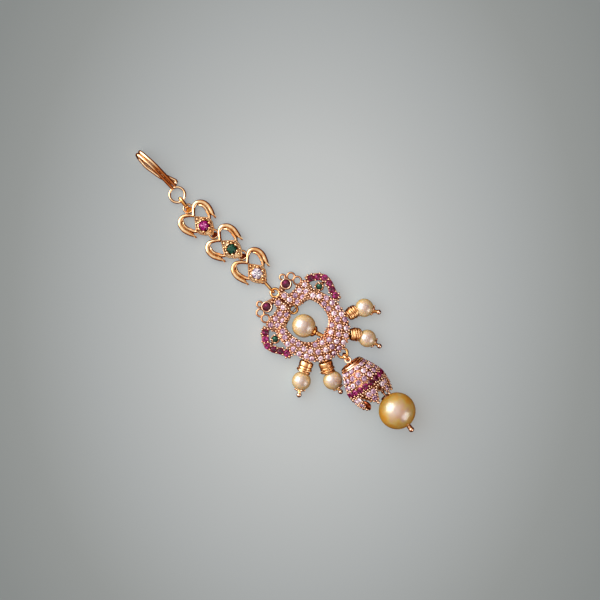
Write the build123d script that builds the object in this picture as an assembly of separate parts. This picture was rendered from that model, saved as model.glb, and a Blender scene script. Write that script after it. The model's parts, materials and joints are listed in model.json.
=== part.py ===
from build123d import *
import os
from math import cos, radians, sin

# Maang tikka: a forehead jewel with a hair hook, lying on its back, face up, on the plane z = 0.
# Millimetres. +Y points to the hair hook, +X to the right as seen from above, +Z is up.
# From +Y to -Y: hair hook with its ring, three linked hearts, peacock medallion with four side
# drops and a centre pearl, bell with petals, big pearl. Each piece is one solid and one file.

GAP = 0.1             # clearance between loose pieces
SEAT_GAP = 0.06       # clearance under caps and round stones
FINE_WIRE = 0.45      # pins, eyes and small loops, diameter
RING_WIRE = 0.5       # jump rings and soldered rings, diameter

# --- hair hook, in its own frame: origin on the floor under the leg, +Y to the bend -------------
HOOK_AT = (4.18, 49.92, 0.0)
HOOK_TURN = -5.0
HOOK_WIRE = 0.86
HOOK_PITCH = 0.94     # between the middles of the two parallel wires
HOOK_RING_R = 1.93    # middle of the ring's wire
HOOK_RING_WIRE = 0.65
HOOK_RING_AT = (-0.45, -4.6, 1.05)
HOOK_END_R = 0.45     # fold at the free end
# middle line between the two wires, with the bend's radius at each inner point
HOOK_LINE = [
    # x, y, z, radius
    (0.30, -2.75, 1.10, 0.0),    # soldered to the ring
    (0.55, 5.00, 3.80, 8.0),     # top of the leg
    (0.15, 9.50, 2.95, 1.15),    # bend, upper corner
    (-0.25, 9.50, 0.45, 1.10),   # bend, lower corner
    (-0.60, 6.00, 0.45, 6.0),    # return leg, on the floor
    (0.10, 1.60, 0.45, 5.0),
    (1.45, -2.20, 0.45, 0.0),    # free end
]

# --- hearts, each in its own frame: origin on the floor under its stone --------------------------
HEARTS = [
    # x, y, turn in degrees, stone radius
    (1.70, 35.15, -4.0, 1.25),
    (1.70, 26.10, 3.0, 1.20),
    (1.06, 17.30, -8.3, 1.35),
]
HEART_OUTER = [(0, 4.25), (1.3, 5.55), (2.65, 5.95), (4.1, 5.2), (4.85, 3.3), (4.5, 1.6), (3.6, -0.5)]
HEART_INNER = [(3.6, -0.5), (3.35, 1.2), (3.8, 3.2), (3.2, 4.5), (2.3, 4.9), (1.1, 4.2), (0, 2.95)]
LEAF = [
    (0, 3.5), (2.45, 0.35), (2.2, -0.8), (1.3, -2.2),
    (0, -3.3), (-1.3, -2.2), (-2.2, -0.8), (-2.45, 0.35),
]
LOBE_LOW, LOBE_HIGH = 0.9, 2.1
LEAF_LOW, LEAF_HIGH = 1.7, 2.35
TAB = (1.5, 0.7, 0.6)  # joins a lobe's tip to the leaf: length, width, thickness
TAB_AT = (2.85, 0.25, 1.8)
CUP_FOOT_R, CUP_TOP_R, CUP_HIGH = 1.1, 1.9, 2.55
STONE_SINK = 0.05     # a stone's girdle lies this much below its cup's edge
EDGE = 0.2            # chamfer of the lobes' and plates' upper edges
EYE_R = 1.1           # middle of the wire of a heart's upper eye
EYE_AT = (0.3, 5.95)
EYE_HIGH = 0.9        # height of every eye's middle above the floor
STAPLE_R = 0.65       # loop under a leaf's lower end, round the next heart's eye
LAST_EYE_R = 0.75     # lower eye of the third heart
LAST_EYE_AT = (0.0, -2.25)

# --- gems: heights are parts of the girdle's radius -----------------------------------------------
GEM_TABLE, GEM_CROWN, GEM_POINT = 0.6, 0.38, 0.8
GIRDLE = 0.03         # half of the girdle's thickness, in millimetres

# --- jump rings: long, wide, both outside ---------------------------------------------------------
TOP_LINK = (3.25, 1.85)
MEDALLION_LINK = (4.25, 1.5)
BELL_LINK = (3.95, 1.9)

# --- medallion, flat on z = 0 before it is tilted; its halves mirror about x = 0 -----------------
MEDALLION_TILT = 5.0          # degrees, lower end up
MEDALLION_HINGE = (11.0, 0.5)  # y and z of the line that it is tilted about
CRESCENT_OUTER = [
    (7.0, 4.3), (8.2, 0.3), (8.4, -2.0), (8.15, -4.2),
    (7.4, -6.6), (6.0, -8.7), (3.5, -10.6), (0, -11.3),
]
CRESCENT_HOLE = [
    (0, 4.2), (1.9, 4.1), (4.2, 3.3), (5.05, 1.0),
    (5.05, -0.8), (4.4, -3.0), (2.6, -4.8), (0, -5.4),
]
DOME_CENTRE_Y = -1.5          # the crescent's top is a ring-shaped dome about this point
DOME_R, DOME_HALF = 6.8, 3.6  # radius of its ridge, and half its width
DOME_EDGE, DOME_RISE = 0.9, 1.4
BODY = [
    (0.3, 5.3), (0.3, 9.4), (1.0, 9.6), (2.0, 9.1), (2.2, 7.8), (3.4, 7.4), (5.3, 7.5),
    (7.3, 7.3), (7.8, 6.2), (7.2, 3.8), (4.2, 3.2), (1.9, 3.9), (1.2, 4.6),
]
BODY_HIGH = 1.7
BEAK = [(0.9, 9.2), (1.2, 10.4), (2.6, 10.9), (2.6, 9.2)]
BEAK_HIGH = 1.4
JOINT_BAR = (0.8, 4.2, 1.0)   # wide, long, high: joins the two peacocks
HEAD_AT, HEAD_CUP_R, HEAD_CUP_HIGH, HEAD_STONE_R = (3.75, 9.9), 1.4, 2.0, 1.08
CREST = [
    # x, y, radius of the wire's middle
    (4.45, 11.75, 0.70),
    (5.95, 10.25, 0.95),
    (6.20, 8.35, 1.00),
]
CREST_HIGH = 0.9
TAIL = [
    (7.7, 6.6), (8.85, 6.2), (10.15, 5.1), (11.0, 3.5),
    (10.8, 1.8), (10.05, 0.25), (9.45, -1.35), (9.7, -2.4),
]
TAIL_WIDE, TAIL_HIGH = 1.75, 1.7
TAIL_TIP = (9.8, -2.5, 0.35, 1.4)   # x, y, radius, height of the bead that ends it
TAIL_STEP = (8.75, -1.5, 0.5, 1.2)  # the same of the solder between tail and crescent
EMERALD_AT, EMERALD_CUP_R, EMERALD_CUP_HIGH, EMERALD_R = (8.6, 3.1), 1.1, 1.9, 0.78
EMERALD_BAR = (3.9, 0.7, 1.2)  # long, wide, high: crescent, emerald cup, tail
SOLDERED_RINGS = [
    # x, y, radius of the wire's middle: top, inside, bottom
    (0.25, 10.7, 1.05),
    (0.05, 4.5, 1.00),
    (-0.38, -11.98, 1.20),
]
SOLDERED_RING_HIGH = 0.4

# --- pearl on a post in the crescent's opening ----------------------------------------------------
CENTRE_PEARL_AT, CENTRE_PEARL_R = (-1.45, -0.1), 2.95
POST_FOOT = (-0.35, -5.6)
POST_R, PEG_R = 0.45, 0.3
POST_CUP_R, POST_CUP_THICK = 1.1, 0.35
PEG_DEPTH = 2.4

# --- side drops: from the crescent's edge through a wound sleeve and a pearl to a ball ------------
DROPS = [
    # edge x, y, pin's bend x, y, pearl x, y, pearl radius, ball x, y, widths of the sleeve's turns
    (-7.45, -6.5, -10.15, -7.35, -12.4, -8.5, 2.35, -15.6, -10.4, (1.5, 0.75, 0.6)),
    (-4.75, -9.85, -6.3, -12.05, -7.2, -14.4, 2.40, -8.2, -17.9, (1.5, 0.75, 0.6)),
    (4.2, -10.25, 5.8, -12.05, 6.35, -14.3, 2.20, 6.85, -18.0, (0.45,) * 6),
    (7.35, -6.9, 9.45, -7.45, 11.75, -8.8, 2.30, 13.3, -12.4, (0.45,) * 6),
]
SLEEVE_R, SLEEVE_BORE_R = 1.62, 0.5
SLEEVE_START = 0.4    # clearance between a sleeve's middle and the crescent's edge
TURN_SLOPE = 0.27     # of a turn's width, taken off each of its corners
PIN_R, PIN_HOLE_R = 0.25, 0.35
SOCKET_DEPTH = 0.8
DROP_BALL_R, DROP_NECK_R = 0.52, 0.4
DROP_CAP_R, DROP_CAP_THICK = 1.0, 0.3
DROP_SAG = 0.25       # the ball lies this much below the pearl's middle
DROP_EDGE_HIGH = 0.9  # height of the drop's hole above the crescent's back

# --- bell: profile from the crown (0) to the petals' tips, in its own frame -----------------------
BELL_CROWN_AT = (-1.13, -15.12)
BELL_HEADING = 13.0   # degrees from -Y towards -X, the way the mouth points
BELL_DIP = 5.5        # degrees that the mouth points down
BELL_CROWN_R, BELL_WIDE_R, BELL_TIP_R = 2.7, 5.45, 4.6
BELL_WIDE_AT, BELL_LONG = 5.9, 11.4
BELL_SKIRT_R, BELL_SKIRT_AT = 5.35, 8.3   # the ring that it lies on
BELL_WALL = 0.7
BELL_LIFT = 0.01      # the skirt's lowest point is this much lower than its ring
BELL_HOLE_R = 0.6
BELL_RIM_R, BELL_RIM_AT = 0.35, 0.15   # round rim of the crown
PETALS = 7
FIRST_PETAL = -4.0    # degrees from straight up, towards +X
GAP_OUTLINE = [(0.0, 7.55), (0.72, 8.1), (0.85, 9.0), (1.25, 10.0), (1.75, 10.8), (2.3, 11.8)]
GAP_FROM, GAP_DEEP = 2.5, 4.0   # the gap between two petals is cut from this far off the axis

# --- wires and pearl under the bell ---------------------------------------------------------------
PIN_EYE_LONG, PIN_EYE_WIDE = 1.95, 1.70   # eye before the crown, outside
PIN_EYE_SINK = 0.9                        # its far end lies this much lower
INNER_EYE_AT, INNER_EYE_R = (-1.26, -24.42, 4.9), 0.62
PEARL_LOOP_AT, PEARL_LOOP_R, PEARL_LOOP_WIRE = (-1.28, -25.12, 4.87), 0.70, 0.4
BIG_PEARL_AT, BIG_PEARL_R = (-2.70, -31.5), 4.6
PEARL_CAP_R, PEARL_CAP_THICK = 1.4, 0.3
COLLAR_R, COLLAR_LONG = 0.6, 0.65
BALL_R = 0.7
BALL_SINK = 0.15      # how far the ball is sunk into its collar


def ring(at, middle_r, wire, normal=(0, 0, 1)):
    """A closed ring of round wire."""
    return Plane(origin=at, z_dir=normal).location * Torus(middle_r, wire / 2)


def rod(start, end, radius):
    """A round rod from one point to another."""
    start, end = Vector(*start), Vector(*end)
    along = end - start
    frame = Plane(origin=start, z_dir=along)
    return frame.location * Cylinder(radius, along.length, align=(Align.CENTER, Align.CENTER, Align.MIN))


def sphere(at, way, radius):
    """A ball whose poles lie along the direction given."""
    return Plane(origin=at, z_dir=way).location * Sphere(radius)


def link(at, size, wire, long_way, side_way):
    """An oval jump ring: size is its outside length and width, side_way is square to its plane."""
    length, width = size
    frame = Plane(origin=at, x_dir=long_way, z_dir=side_way)
    track = SlotOverall(length - wire, width - wire).face().outer_wire()
    section = Plane(origin=track @ 0, z_dir=track % 0) * Circle(wire / 2)
    return frame.location * sweep(section, path=track)


def bent_wire(points, radii, wire):
    """A round wire along straight runs joined by arcs."""
    track = FilletPolyline(*points, radius=radii)
    section = Plane(origin=track @ 0, z_dir=track % 0) * Circle(wire / 2)
    return sweep(section, path=track)


def plate(outline, low, high):
    """A flat plate with straight edges between the points of its outline."""
    return Pos(0, 0, low) * extrude(make_face(Polyline(*outline, close=True)), high - low)


def upright(radius, low, high, at=(0, 0)):
    """A round pillar that stands on a point of the floor."""
    return Pos(at[0], at[1], low) * Cylinder(radius, high - low, align=(Align.CENTER, Align.CENTER, Align.MIN))


def flip(shape):
    """The mirror image on the other side of the middle line."""
    return mirror(shape, about=Plane.YZ)


def one_solid(shape):
    """The single solid that a fused shape consists of."""
    return shape.solids().sort_by(SortBy.VOLUME)[-1]


def gem(radius):
    """A round brilliant, its girdle at z = 0."""
    top = GEM_CROWN * radius
    profile = Polyline((0, -GEM_POINT * radius), (radius, -GIRDLE), (radius, GIRDLE),
                       (GEM_TABLE * radius, top), (0, top), close=True)
    return revolve(Plane.XZ * make_face(profile), Axis.Z)


def gem_seat(radius):
    """The room that a gem takes in its cup, open at the top."""
    wide, top = radius + SEAT_GAP, GEM_CROWN * radius
    low = -GEM_POINT * radius - GAP
    profile = Polyline((0, low), (wide, -GIRDLE), (wide, top), (0, top), close=True)
    return revolve(Plane.XZ * make_face(profile), Axis.Z)


def heart_place(index):
    """Where a heart lies."""
    x, y, turn, _ = HEARTS[index]
    return Pos(x, y, 0) * Rot(0, 0, turn)


def upper_eye_at(index):
    """The middle of a heart's upper eye."""
    return (heart_place(index) * Pos(EYE_AT[0], EYE_AT[1], EYE_HIGH)).position


def heart(index):
    """Two wire lobes, a leaf with a cup for the stone, and the eyes that link it."""
    stone_r = HEARTS[index][3]
    cleft = Line(HEART_INNER[-1], HEART_OUTER[0])
    lobe = make_face([Spline(*HEART_OUTER), Spline(*HEART_INNER), cleft])
    lobes = Pos(0, 0, LOBE_LOW) * extrude(lobe, LOBE_HIGH - LOBE_LOW)
    lobes = lobes + flip(lobes)
    lobes = chamfer(lobes.faces().sort_by(Axis.Z)[-1].outer_wire().edges(), EDGE)
    tab = Pos(*TAB_AT) * Box(*TAB)
    cup = Cone(CUP_FOOT_R, CUP_TOP_R, CUP_HIGH, align=(Align.CENTER, Align.CENTER, Align.MIN))
    metal = lobes + plate(LEAF, LEAF_LOW, LEAF_HIGH) + tab + flip(tab) + cup
    metal += ring((EYE_AT[0], EYE_AT[1], EYE_HIGH), EYE_R, RING_WIRE)
    if index == len(HEARTS) - 1:
        metal += ring((LAST_EYE_AT[0], LAST_EYE_AT[1], EYE_HIGH), LAST_EYE_R, FINE_WIRE)
    metal -= Pos(0, 0, CUP_HIGH - STONE_SINK) * gem_seat(stone_r)
    metal = heart_place(index) * metal
    if index < len(HEARTS) - 1:
        here = Vector(HEARTS[index][0], HEARTS[index][1], EYE_HIGH)
        eye = upper_eye_at(index + 1)
        way = (here - eye).normalized()
        metal += ring(eye + way * EYE_R, STAPLE_R, FINE_WIRE, way.cross(Vector(0, 0, 1)))
    return one_solid(metal)


def heart_stone(index):
    """The stone in a heart's cup."""
    return heart_place(index) * Pos(0, 0, CUP_HIGH - STONE_SINK) * gem(HEARTS[index][3])


def hair_hook():
    """Two parallel wires bent to a hook, folded at the free end, soldered to their ring."""
    half = HOOK_PITCH / 2
    middle = [Vector(x, y, z) for x, y, z, _ in HOOK_LINE]
    radii = [radius for _, _, _, radius in HOOK_LINE[1:-1]]
    right = [point + Vector(half, 0, 0) for point in middle]
    left = [point - Vector(half, 0, 0) for point in middle]
    points = right + left[::-1]
    wires = bent_wire(points, radii + [HOOK_END_R, HOOK_END_R] + radii[::-1], HOOK_WIRE)
    metal = wires + ring(HOOK_RING_AT, HOOK_RING_R, HOOK_RING_WIRE)
    return one_solid(Pos(*HOOK_AT) * Rot(0, 0, HOOK_TURN) * metal)


def link_between(first, second, size):
    """A jump ring that stands on edge, its middle halfway between two wires."""
    first, second = Vector(*first), Vector(*second)
    way = second - first
    side = way.cross(Vector(0, 0, 1))
    return link((first + second) / 2, size, FINE_WIRE, way, side)


def wire_of_ring(centre, towards, middle_r):
    """The point of a ring's wire that is nearest to another point."""
    centre, towards = Vector(*centre), Vector(*towards)
    return centre + (towards - centre).normalized() * middle_r


def hook_ring_centre():
    """The middle of the ring that is soldered to the hook."""
    return (Pos(*HOOK_AT) * Rot(0, 0, HOOK_TURN) * Pos(*HOOK_RING_AT)).position


def top_link():
    """The jump ring between the hook's ring and the first heart."""
    eye, hook = upper_eye_at(0), hook_ring_centre()
    return link_between(wire_of_ring(eye, hook, EYE_R), wire_of_ring(hook, eye, HOOK_RING_R), TOP_LINK)


def tilt():
    """The medallion's place: turned about a cross line near its upper end."""
    y, z = MEDALLION_HINGE
    return Pos(0, y, z) * Rot(-MEDALLION_TILT, 0, 0) * Pos(0, -y, 0)


def soldered_wire(index, side):
    """The upper (1) or lower (-1) wire of one of the medallion's rings."""
    x, y, radius = SOLDERED_RINGS[index]
    return (tilt() * Pos(x, y + side * radius, SOLDERED_RING_HIGH)).position


def medallion_link():
    """The jump ring between the third heart and the medallion."""
    x, y = LAST_EYE_AT
    eye = (heart_place(len(HEARTS) - 1) * Pos(x, y, EYE_HIGH)).position
    top = soldered_wire(0, 1)
    return link_between(wire_of_ring(eye, top, LAST_EYE_R), top, MEDALLION_LINK)


def crescent_outline():
    """The crescent's outer edge, closed by a straight line under the peacocks."""
    left = [(-x, y) for x, y in CRESCENT_OUTER[-2::-1]]
    return make_face([Spline(*CRESCENT_OUTER, *left), Line(left[-1], CRESCENT_OUTER[0])])


def crescent():
    """The paved crescent: an upright band under a ring-shaped dome."""
    left_hole = [(-x, y) for x, y in CRESCENT_HOLE[-2:0:-1]]
    band = crescent_outline() - make_face(Spline(*CRESCENT_HOLE, *left_hole, periodic=True))
    inside, outside = DOME_R - DOME_HALF, DOME_R + DOME_HALF
    section = make_face([
        ThreePointArc((inside, DOME_EDGE), (DOME_R, DOME_EDGE + DOME_RISE), (outside, DOME_EDGE)),
        Polyline((outside, DOME_EDGE), (outside, 0), (inside, 0), (inside, DOME_EDGE)),
    ])
    dome = Pos(0, DOME_CENTRE_Y, 0) * revolve(Plane.XZ * section, Axis.Z)
    return extrude(band, DOME_EDGE + DOME_RISE) & dome


def stone_place(at, cup_high, side=1):
    """The middle of a stone's girdle in its cup on the medallion."""
    return Pos(side * at[0], at[1], cup_high - STONE_SINK)


def peacock():
    """The right-hand peacock: body, beak, head cup, crest loops, tail and emerald cup."""
    metal = plate(BODY, 0, BODY_HIGH) + plate(BEAK, 0, BEAK_HIGH)
    metal += upright(HEAD_CUP_R, 0, HEAD_CUP_HIGH, HEAD_AT)
    for x, y, radius in CREST:
        metal += ring((x, y, CREST_HIGH), radius, RING_WIRE)
    metal += extrude(trace(Spline(*TAIL), TAIL_WIDE), TAIL_HIGH)
    for x, y, radius, high in (TAIL_TIP, TAIL_STEP):
        metal += upright(radius, 0, high, (x, y))
    metal += upright(EMERALD_CUP_R, 0, EMERALD_CUP_HIGH, EMERALD_AT)
    length, width, height = EMERALD_BAR
    metal += Pos(EMERALD_AT[0], EMERALD_AT[1], height / 2) * Box(length, width, height)
    metal -= stone_place(HEAD_AT, HEAD_CUP_HIGH) * gem_seat(HEAD_STONE_R)
    metal -= stone_place(EMERALD_AT, EMERALD_CUP_HIGH) * gem_seat(EMERALD_R)
    return metal


def centre_post_ends():
    """The pearl's middle, and the post's foot at the same height."""
    pearl = Vector(CENTRE_PEARL_AT[0], CENTRE_PEARL_AT[1], CENTRE_PEARL_R)
    foot = Vector(POST_FOOT[0], POST_FOOT[1], CENTRE_PEARL_R)
    return pearl, foot


def shell_cap(centre, way, inner_r, thick, cap_r):
    """A thin bowl that lies on a sphere, its middle in the direction given."""
    bowl = sphere(centre, way, inner_r + thick) - sphere(centre, way, inner_r)
    return bowl & rod(centre, centre + way * 2 * inner_r, cap_r)


def medallion():
    """Both peacocks, the crescent, the soldered rings and the pearl's post: one soldered piece."""
    right = peacock()
    wide, long, high = JOINT_BAR
    metal = crescent() + right + flip(right)
    metal += Pos(0, BODY[0][1] + long / 2, high / 2) * Box(wide, long, high)
    for x, y, radius in SOLDERED_RINGS:
        metal += ring((x, y, SOLDERED_RING_HIGH), radius, RING_WIRE)
    metal = tilt() * metal
    pearl, foot = centre_post_ends()
    way = (foot - pearl).normalized()
    metal += shell_cap(pearl, way, CENTRE_PEARL_R + SEAT_GAP, POST_CUP_THICK, POST_CUP_R)
    metal += rod(pearl + way * (CENTRE_PEARL_R + POST_CUP_THICK / 2), foot, POST_R)
    metal += rod(pearl + way * (CENTRE_PEARL_R - PEG_DEPTH), foot, PEG_R)
    for row in range(len(DROPS)):
        edge, bend, _, _ = drop_points(row)
        way = (edge - bend).normalized()
        metal -= rod(bend, edge + way * (SOCKET_DEPTH + GAP), PIN_HOLE_R)
    return one_solid(metal)


def head_ruby(side):
    """The ruby that is a peacock's head, on the right (1) or the left (-1)."""
    return tilt() * stone_place(HEAD_AT, HEAD_CUP_HIGH, side) * gem(HEAD_STONE_R)


def emerald(side):
    """The emerald in a tail's curl, on the right (1) or the left (-1)."""
    return tilt() * stone_place(EMERALD_AT, EMERALD_CUP_HIGH, side) * gem(EMERALD_R)


def centre_pearl():
    """The pearl on the medallion's post."""
    pearl, foot = centre_post_ends()
    way = (foot - pearl).normalized()
    hole = rod(pearl + way * (CENTRE_PEARL_R - PEG_DEPTH - GAP), foot, PEG_R + GAP)
    return sphere(pearl, way, CENTRE_PEARL_R) - hole


def drop_points(row):
    """Of one side drop: hole in the crescent's edge, pin's bend, pearl's middle, ball."""
    edge_x, edge_y, bend_x, bend_y, pearl_x, pearl_y, radius, ball_x, ball_y, _ = DROPS[row]
    edge = (tilt() * Pos(edge_x, edge_y, DROP_EDGE_HIGH)).position
    bend = Vector(bend_x, bend_y, radius + DROP_SAG)
    pearl = Vector(pearl_x, pearl_y, radius)
    ball = Vector(ball_x, ball_y, radius - DROP_SAG)
    return edge, bend, pearl, ball


def sleeve(row):
    """A wound sleeve: round turns side by side, hollowed where it meets the pearl."""
    edge, bend, pearl, _ = drop_points(row)
    radius, turns = DROPS[row][6], DROPS[row][9]
    way = (bend - edge).normalized()
    start = SLEEVE_START
    metal = None
    for width in turns:
        end, slope = start + width, TURN_SLOPE * width
        side = SLEEVE_R - slope
        turn = Polyline((SLEEVE_BORE_R, start), (side, start), (SLEEVE_R, start + slope),
                        (SLEEVE_R, end - slope), (side, end), (SLEEVE_BORE_R, end), close=True)
        part = revolve(Plane.XZ * make_face(turn), Axis.Z)
        metal = part if metal is None else metal + part
        start = end
    frame = Plane(origin=edge, z_dir=way)
    return one_solid(frame.location * metal - Pos(*pearl) * Sphere(radius + GAP))


def drop_pearl(row):
    """The pearl of one side drop."""
    _, bend, pearl, ball = drop_points(row)
    return Pos(*pearl) * Sphere(DROPS[row][6]) - rod(bend, ball, PIN_HOLE_R)


def drop_pin(row):
    """The headpin: into the crescent's edge, through sleeve and pearl, to its cap and ball."""
    edge, bend, pearl, ball = drop_points(row)
    radius = DROPS[row][6]
    inward, outward = (edge - bend).normalized(), (ball - pearl).normalized()
    start = edge + inward * SOCKET_DEPTH
    pin = rod(start, bend, PIN_R) + sphere(bend, inward, PIN_R) + rod(bend, ball, PIN_R)
    cap = shell_cap(pearl, outward, radius + SEAT_GAP, DROP_CAP_THICK, DROP_CAP_R)
    neck = rod(pearl + outward * (radius + DROP_CAP_THICK), ball, DROP_NECK_R)
    return one_solid(pin + cap + neck + sphere(ball, outward, DROP_BALL_R))


def bell_way():
    """The direction from the bell's crown to its mouth."""
    heading, dip = radians(BELL_HEADING), radians(BELL_DIP)
    return Vector(-sin(heading) * cos(dip), -cos(heading) * cos(dip), -sin(dip))


def bell_frame():
    """Origin at the crown, x to the right, y up, z to the mouth; the skirt lies on the floor."""
    dip, heading = radians(BELL_DIP), radians(BELL_HEADING)
    high = BELL_SKIRT_R * cos(dip) + BELL_SKIRT_AT * sin(dip) + BELL_LIFT
    right = (cos(heading), -sin(heading), 0)
    return Plane(origin=(*BELL_CROWN_AT, high), x_dir=right, z_dir=bell_way())


def bell_side(inset, start):
    """Half of the bell's round form from crown to tip, moved inwards by the inset."""
    crown, wide, skirt, tip = (r - inset for r in (BELL_CROWN_R, BELL_WIDE_R, BELL_SKIRT_R, BELL_TIP_R))
    shoulder = ((crown + wide) / 2 + 0.3, BELL_WIDE_AT * 0.47)
    upper = ThreePointArc((crown, start), shoulder, (wide, BELL_WIDE_AT))
    lower = ThreePointArc((wide, BELL_WIDE_AT), (skirt, BELL_SKIRT_AT), (tip, BELL_LONG))
    return upper, lower


def bell():
    """A hollow bell cap with a round rim at the crown and petals round the mouth."""
    outer, inner = bell_side(0, 0), bell_side(BELL_WALL, BELL_WALL)
    crown = Polyline(inner[0] @ 0, (BELL_HOLE_R, BELL_WALL), (BELL_HOLE_R, 0), outer[0] @ 0)
    wall = make_face([*outer, *inner, crown, Line(inner[1] @ 1, outer[1] @ 1)])
    metal = revolve(Plane.XZ * wall, Axis.Z)
    metal += Pos(0, 0, BELL_RIM_AT) * Torus(BELL_CROWN_R - 0.1, BELL_RIM_R)
    left = [(-x, y) for x, y in GAP_OUTLINE[:0:-1]]
    outline = make_face([Spline(*left, *GAP_OUTLINE), Line(GAP_OUTLINE[-1], left[0])])
    notch = Pos(0, GAP_FROM, 0) * extrude(Plane.XZ * outline, -GAP_DEEP)
    for petal in range(PETALS):
        turn = FIRST_PETAL + (petal + 0.5) * 360 / PETALS
        metal -= Rot(0, 0, -turn) * notch
    return one_solid(bell_frame().location * metal)


def pin_eye_points():
    """Where the bell pin's eye starts at the crown, and the middle of its far wire."""
    crown = Vector(*bell_frame().origin)
    back = bell_way() * -1
    start = crown + back * (GAP + BELL_RIM_R)
    far = crown + back * (GAP + BELL_RIM_R + PIN_EYE_LONG - FINE_WIRE) - Vector(0, 0, PIN_EYE_SINK)
    return start, far


def bell_pin():
    """An eye pin through the crown: a long eye before it, a round eye near the mouth."""
    start, far = pin_eye_points()
    way = (far - start).normalized()
    side = way.cross(bell_frame().x_dir)
    eye = link((start + far) / 2, (PIN_EYE_LONG + 0.05, PIN_EYE_WIDE), FINE_WIRE, way, side)
    inner = Vector(*INNER_EYE_AT)
    shank_end = inner + (start - inner).normalized() * INNER_EYE_R
    return one_solid(eye + rod(start, shank_end, FINE_WIRE / 2) + ring(inner, INNER_EYE_R, FINE_WIRE))


def bell_link():
    """The jump ring that stands between the medallion's lowest ring and the bell pin's eye."""
    _, eye = pin_eye_points()
    low = soldered_wire(2, -1)
    way = eye - low
    return link((low + eye) / 2, BELL_LINK, FINE_WIRE, way, way.cross(Vector(0, 1, 0)))


def big_pearl_line():
    """The pearl's middle and the direction of its pin, away from the bell."""
    pearl = Vector(BIG_PEARL_AT[0], BIG_PEARL_AT[1], BIG_PEARL_R)
    return pearl, (pearl - Vector(*PEARL_LOOP_AT)).normalized()


def big_pearl_hole():
    """What the pearl's pin takes away from the pearl and its cap."""
    pearl, way = big_pearl_line()
    half = way * 1.5 * BIG_PEARL_R
    return rod(pearl - half, pearl + half, PIN_HOLE_R)


def big_pearl():
    """The large pearl at the jewel's lower end."""
    pearl, way = big_pearl_line()
    return sphere(pearl, way, BIG_PEARL_R) - big_pearl_hole()


def big_pearl_cap():
    """The thin cap on the big pearl, towards the bell."""
    pearl, way = big_pearl_line()
    cap = shell_cap(pearl, way * -1, BIG_PEARL_R + SEAT_GAP, PEARL_CAP_THICK, PEARL_CAP_R)
    return cap - big_pearl_hole()


def pearl_pin():
    """The big pearl's headpin: loop, shank, collar and ball."""
    pearl, way = big_pearl_line()
    loop = Vector(*PEARL_LOOP_AT)
    collar = pearl + way * (BIG_PEARL_R + SEAT_GAP)
    ball = collar + way * (COLLAR_LONG + BALL_R - BALL_SINK)
    metal = ring(loop, PEARL_LOOP_R, PEARL_LOOP_WIRE, way.cross(Vector(0, 0, 1)))
    metal += rod(loop + way * PEARL_LOOP_R, ball, PIN_R)
    metal += rod(collar, ball, COLLAR_R)
    metal += sphere(ball, way, BALL_R)
    return one_solid(metal)


def pieces():
    """Every piece of the jewel by name."""
    made = {"hair_hook": hair_hook(), "top_link": top_link()}
    for index in range(len(HEARTS)):
        made[f"heart_{index + 1}"] = heart(index)
        made[f"heart_stone_{index + 1}"] = heart_stone(index)
    made["medallion_link"] = medallion_link()
    made["medallion"] = medallion()
    for side, name in ((-1, "left"), (1, "right")):
        made[f"head_ruby_{name}"] = head_ruby(side)
        made[f"emerald_{name}"] = emerald(side)
    made["centre_pearl"] = centre_pearl()
    for row in range(len(DROPS)):
        made[f"sleeve_{row + 1}"] = sleeve(row)
        made[f"drop_pearl_{row + 1}"] = drop_pearl(row)
        made[f"drop_pin_{row + 1}"] = drop_pin(row)
    made["bell_link"] = bell_link()
    made["bell"] = bell()
    made["bell_pin"] = bell_pin()
    made["big_pearl_cap"] = big_pearl_cap()
    made["big_pearl"] = big_pearl()
    made["pearl_pin"] = pearl_pin()
    return made


def main():
    """Write each piece, moved so that the origin is the middle of the footprint on the floor."""
    os.makedirs("parts", exist_ok=True)
    made = pieces()
    boxes = [shape.bounding_box() for shape in made.values()]
    low_x, high_x = min(b.min.X for b in boxes), max(b.max.X for b in boxes)
    low_y, high_y = min(b.min.Y for b in boxes), max(b.max.Y for b in boxes)
    middle = Pos(-(low_x + high_x) / 2, -(low_y + high_y) / 2, 0)
    print("moved by", tuple(middle.position))
    for name, shape in made.items():
        export_step(middle * shape, f"parts/{name}.step")


main()
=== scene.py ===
"""The looks of a maang tikka: cast and wire-wrought gold, set stones, wound sleeves and pearls.

All sizes inside this file are millimetres in the jewel's own frame: +Y points to the hair hook,
+X to the right as seen from above, +Z up, the floor at z = 0. A piece is turned to metres when it
is finished.
"""

import json
import logging
import random
from collections.abc import Collection
from dataclasses import dataclass
from enum import Enum
from functools import cache
from math import atan2, cos, hypot, pi, radians, sin, sqrt
from typing import Any

import bmesh
import bpy
from bmesh.types import BMesh, BMFace, BMVert
from bpy.types import Material, Mesh, Node, NodeSocket, NodeTree, Object, World
from mathutils import Matrix, Vector
from mathutils.bvhtree import BVHTree

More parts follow.
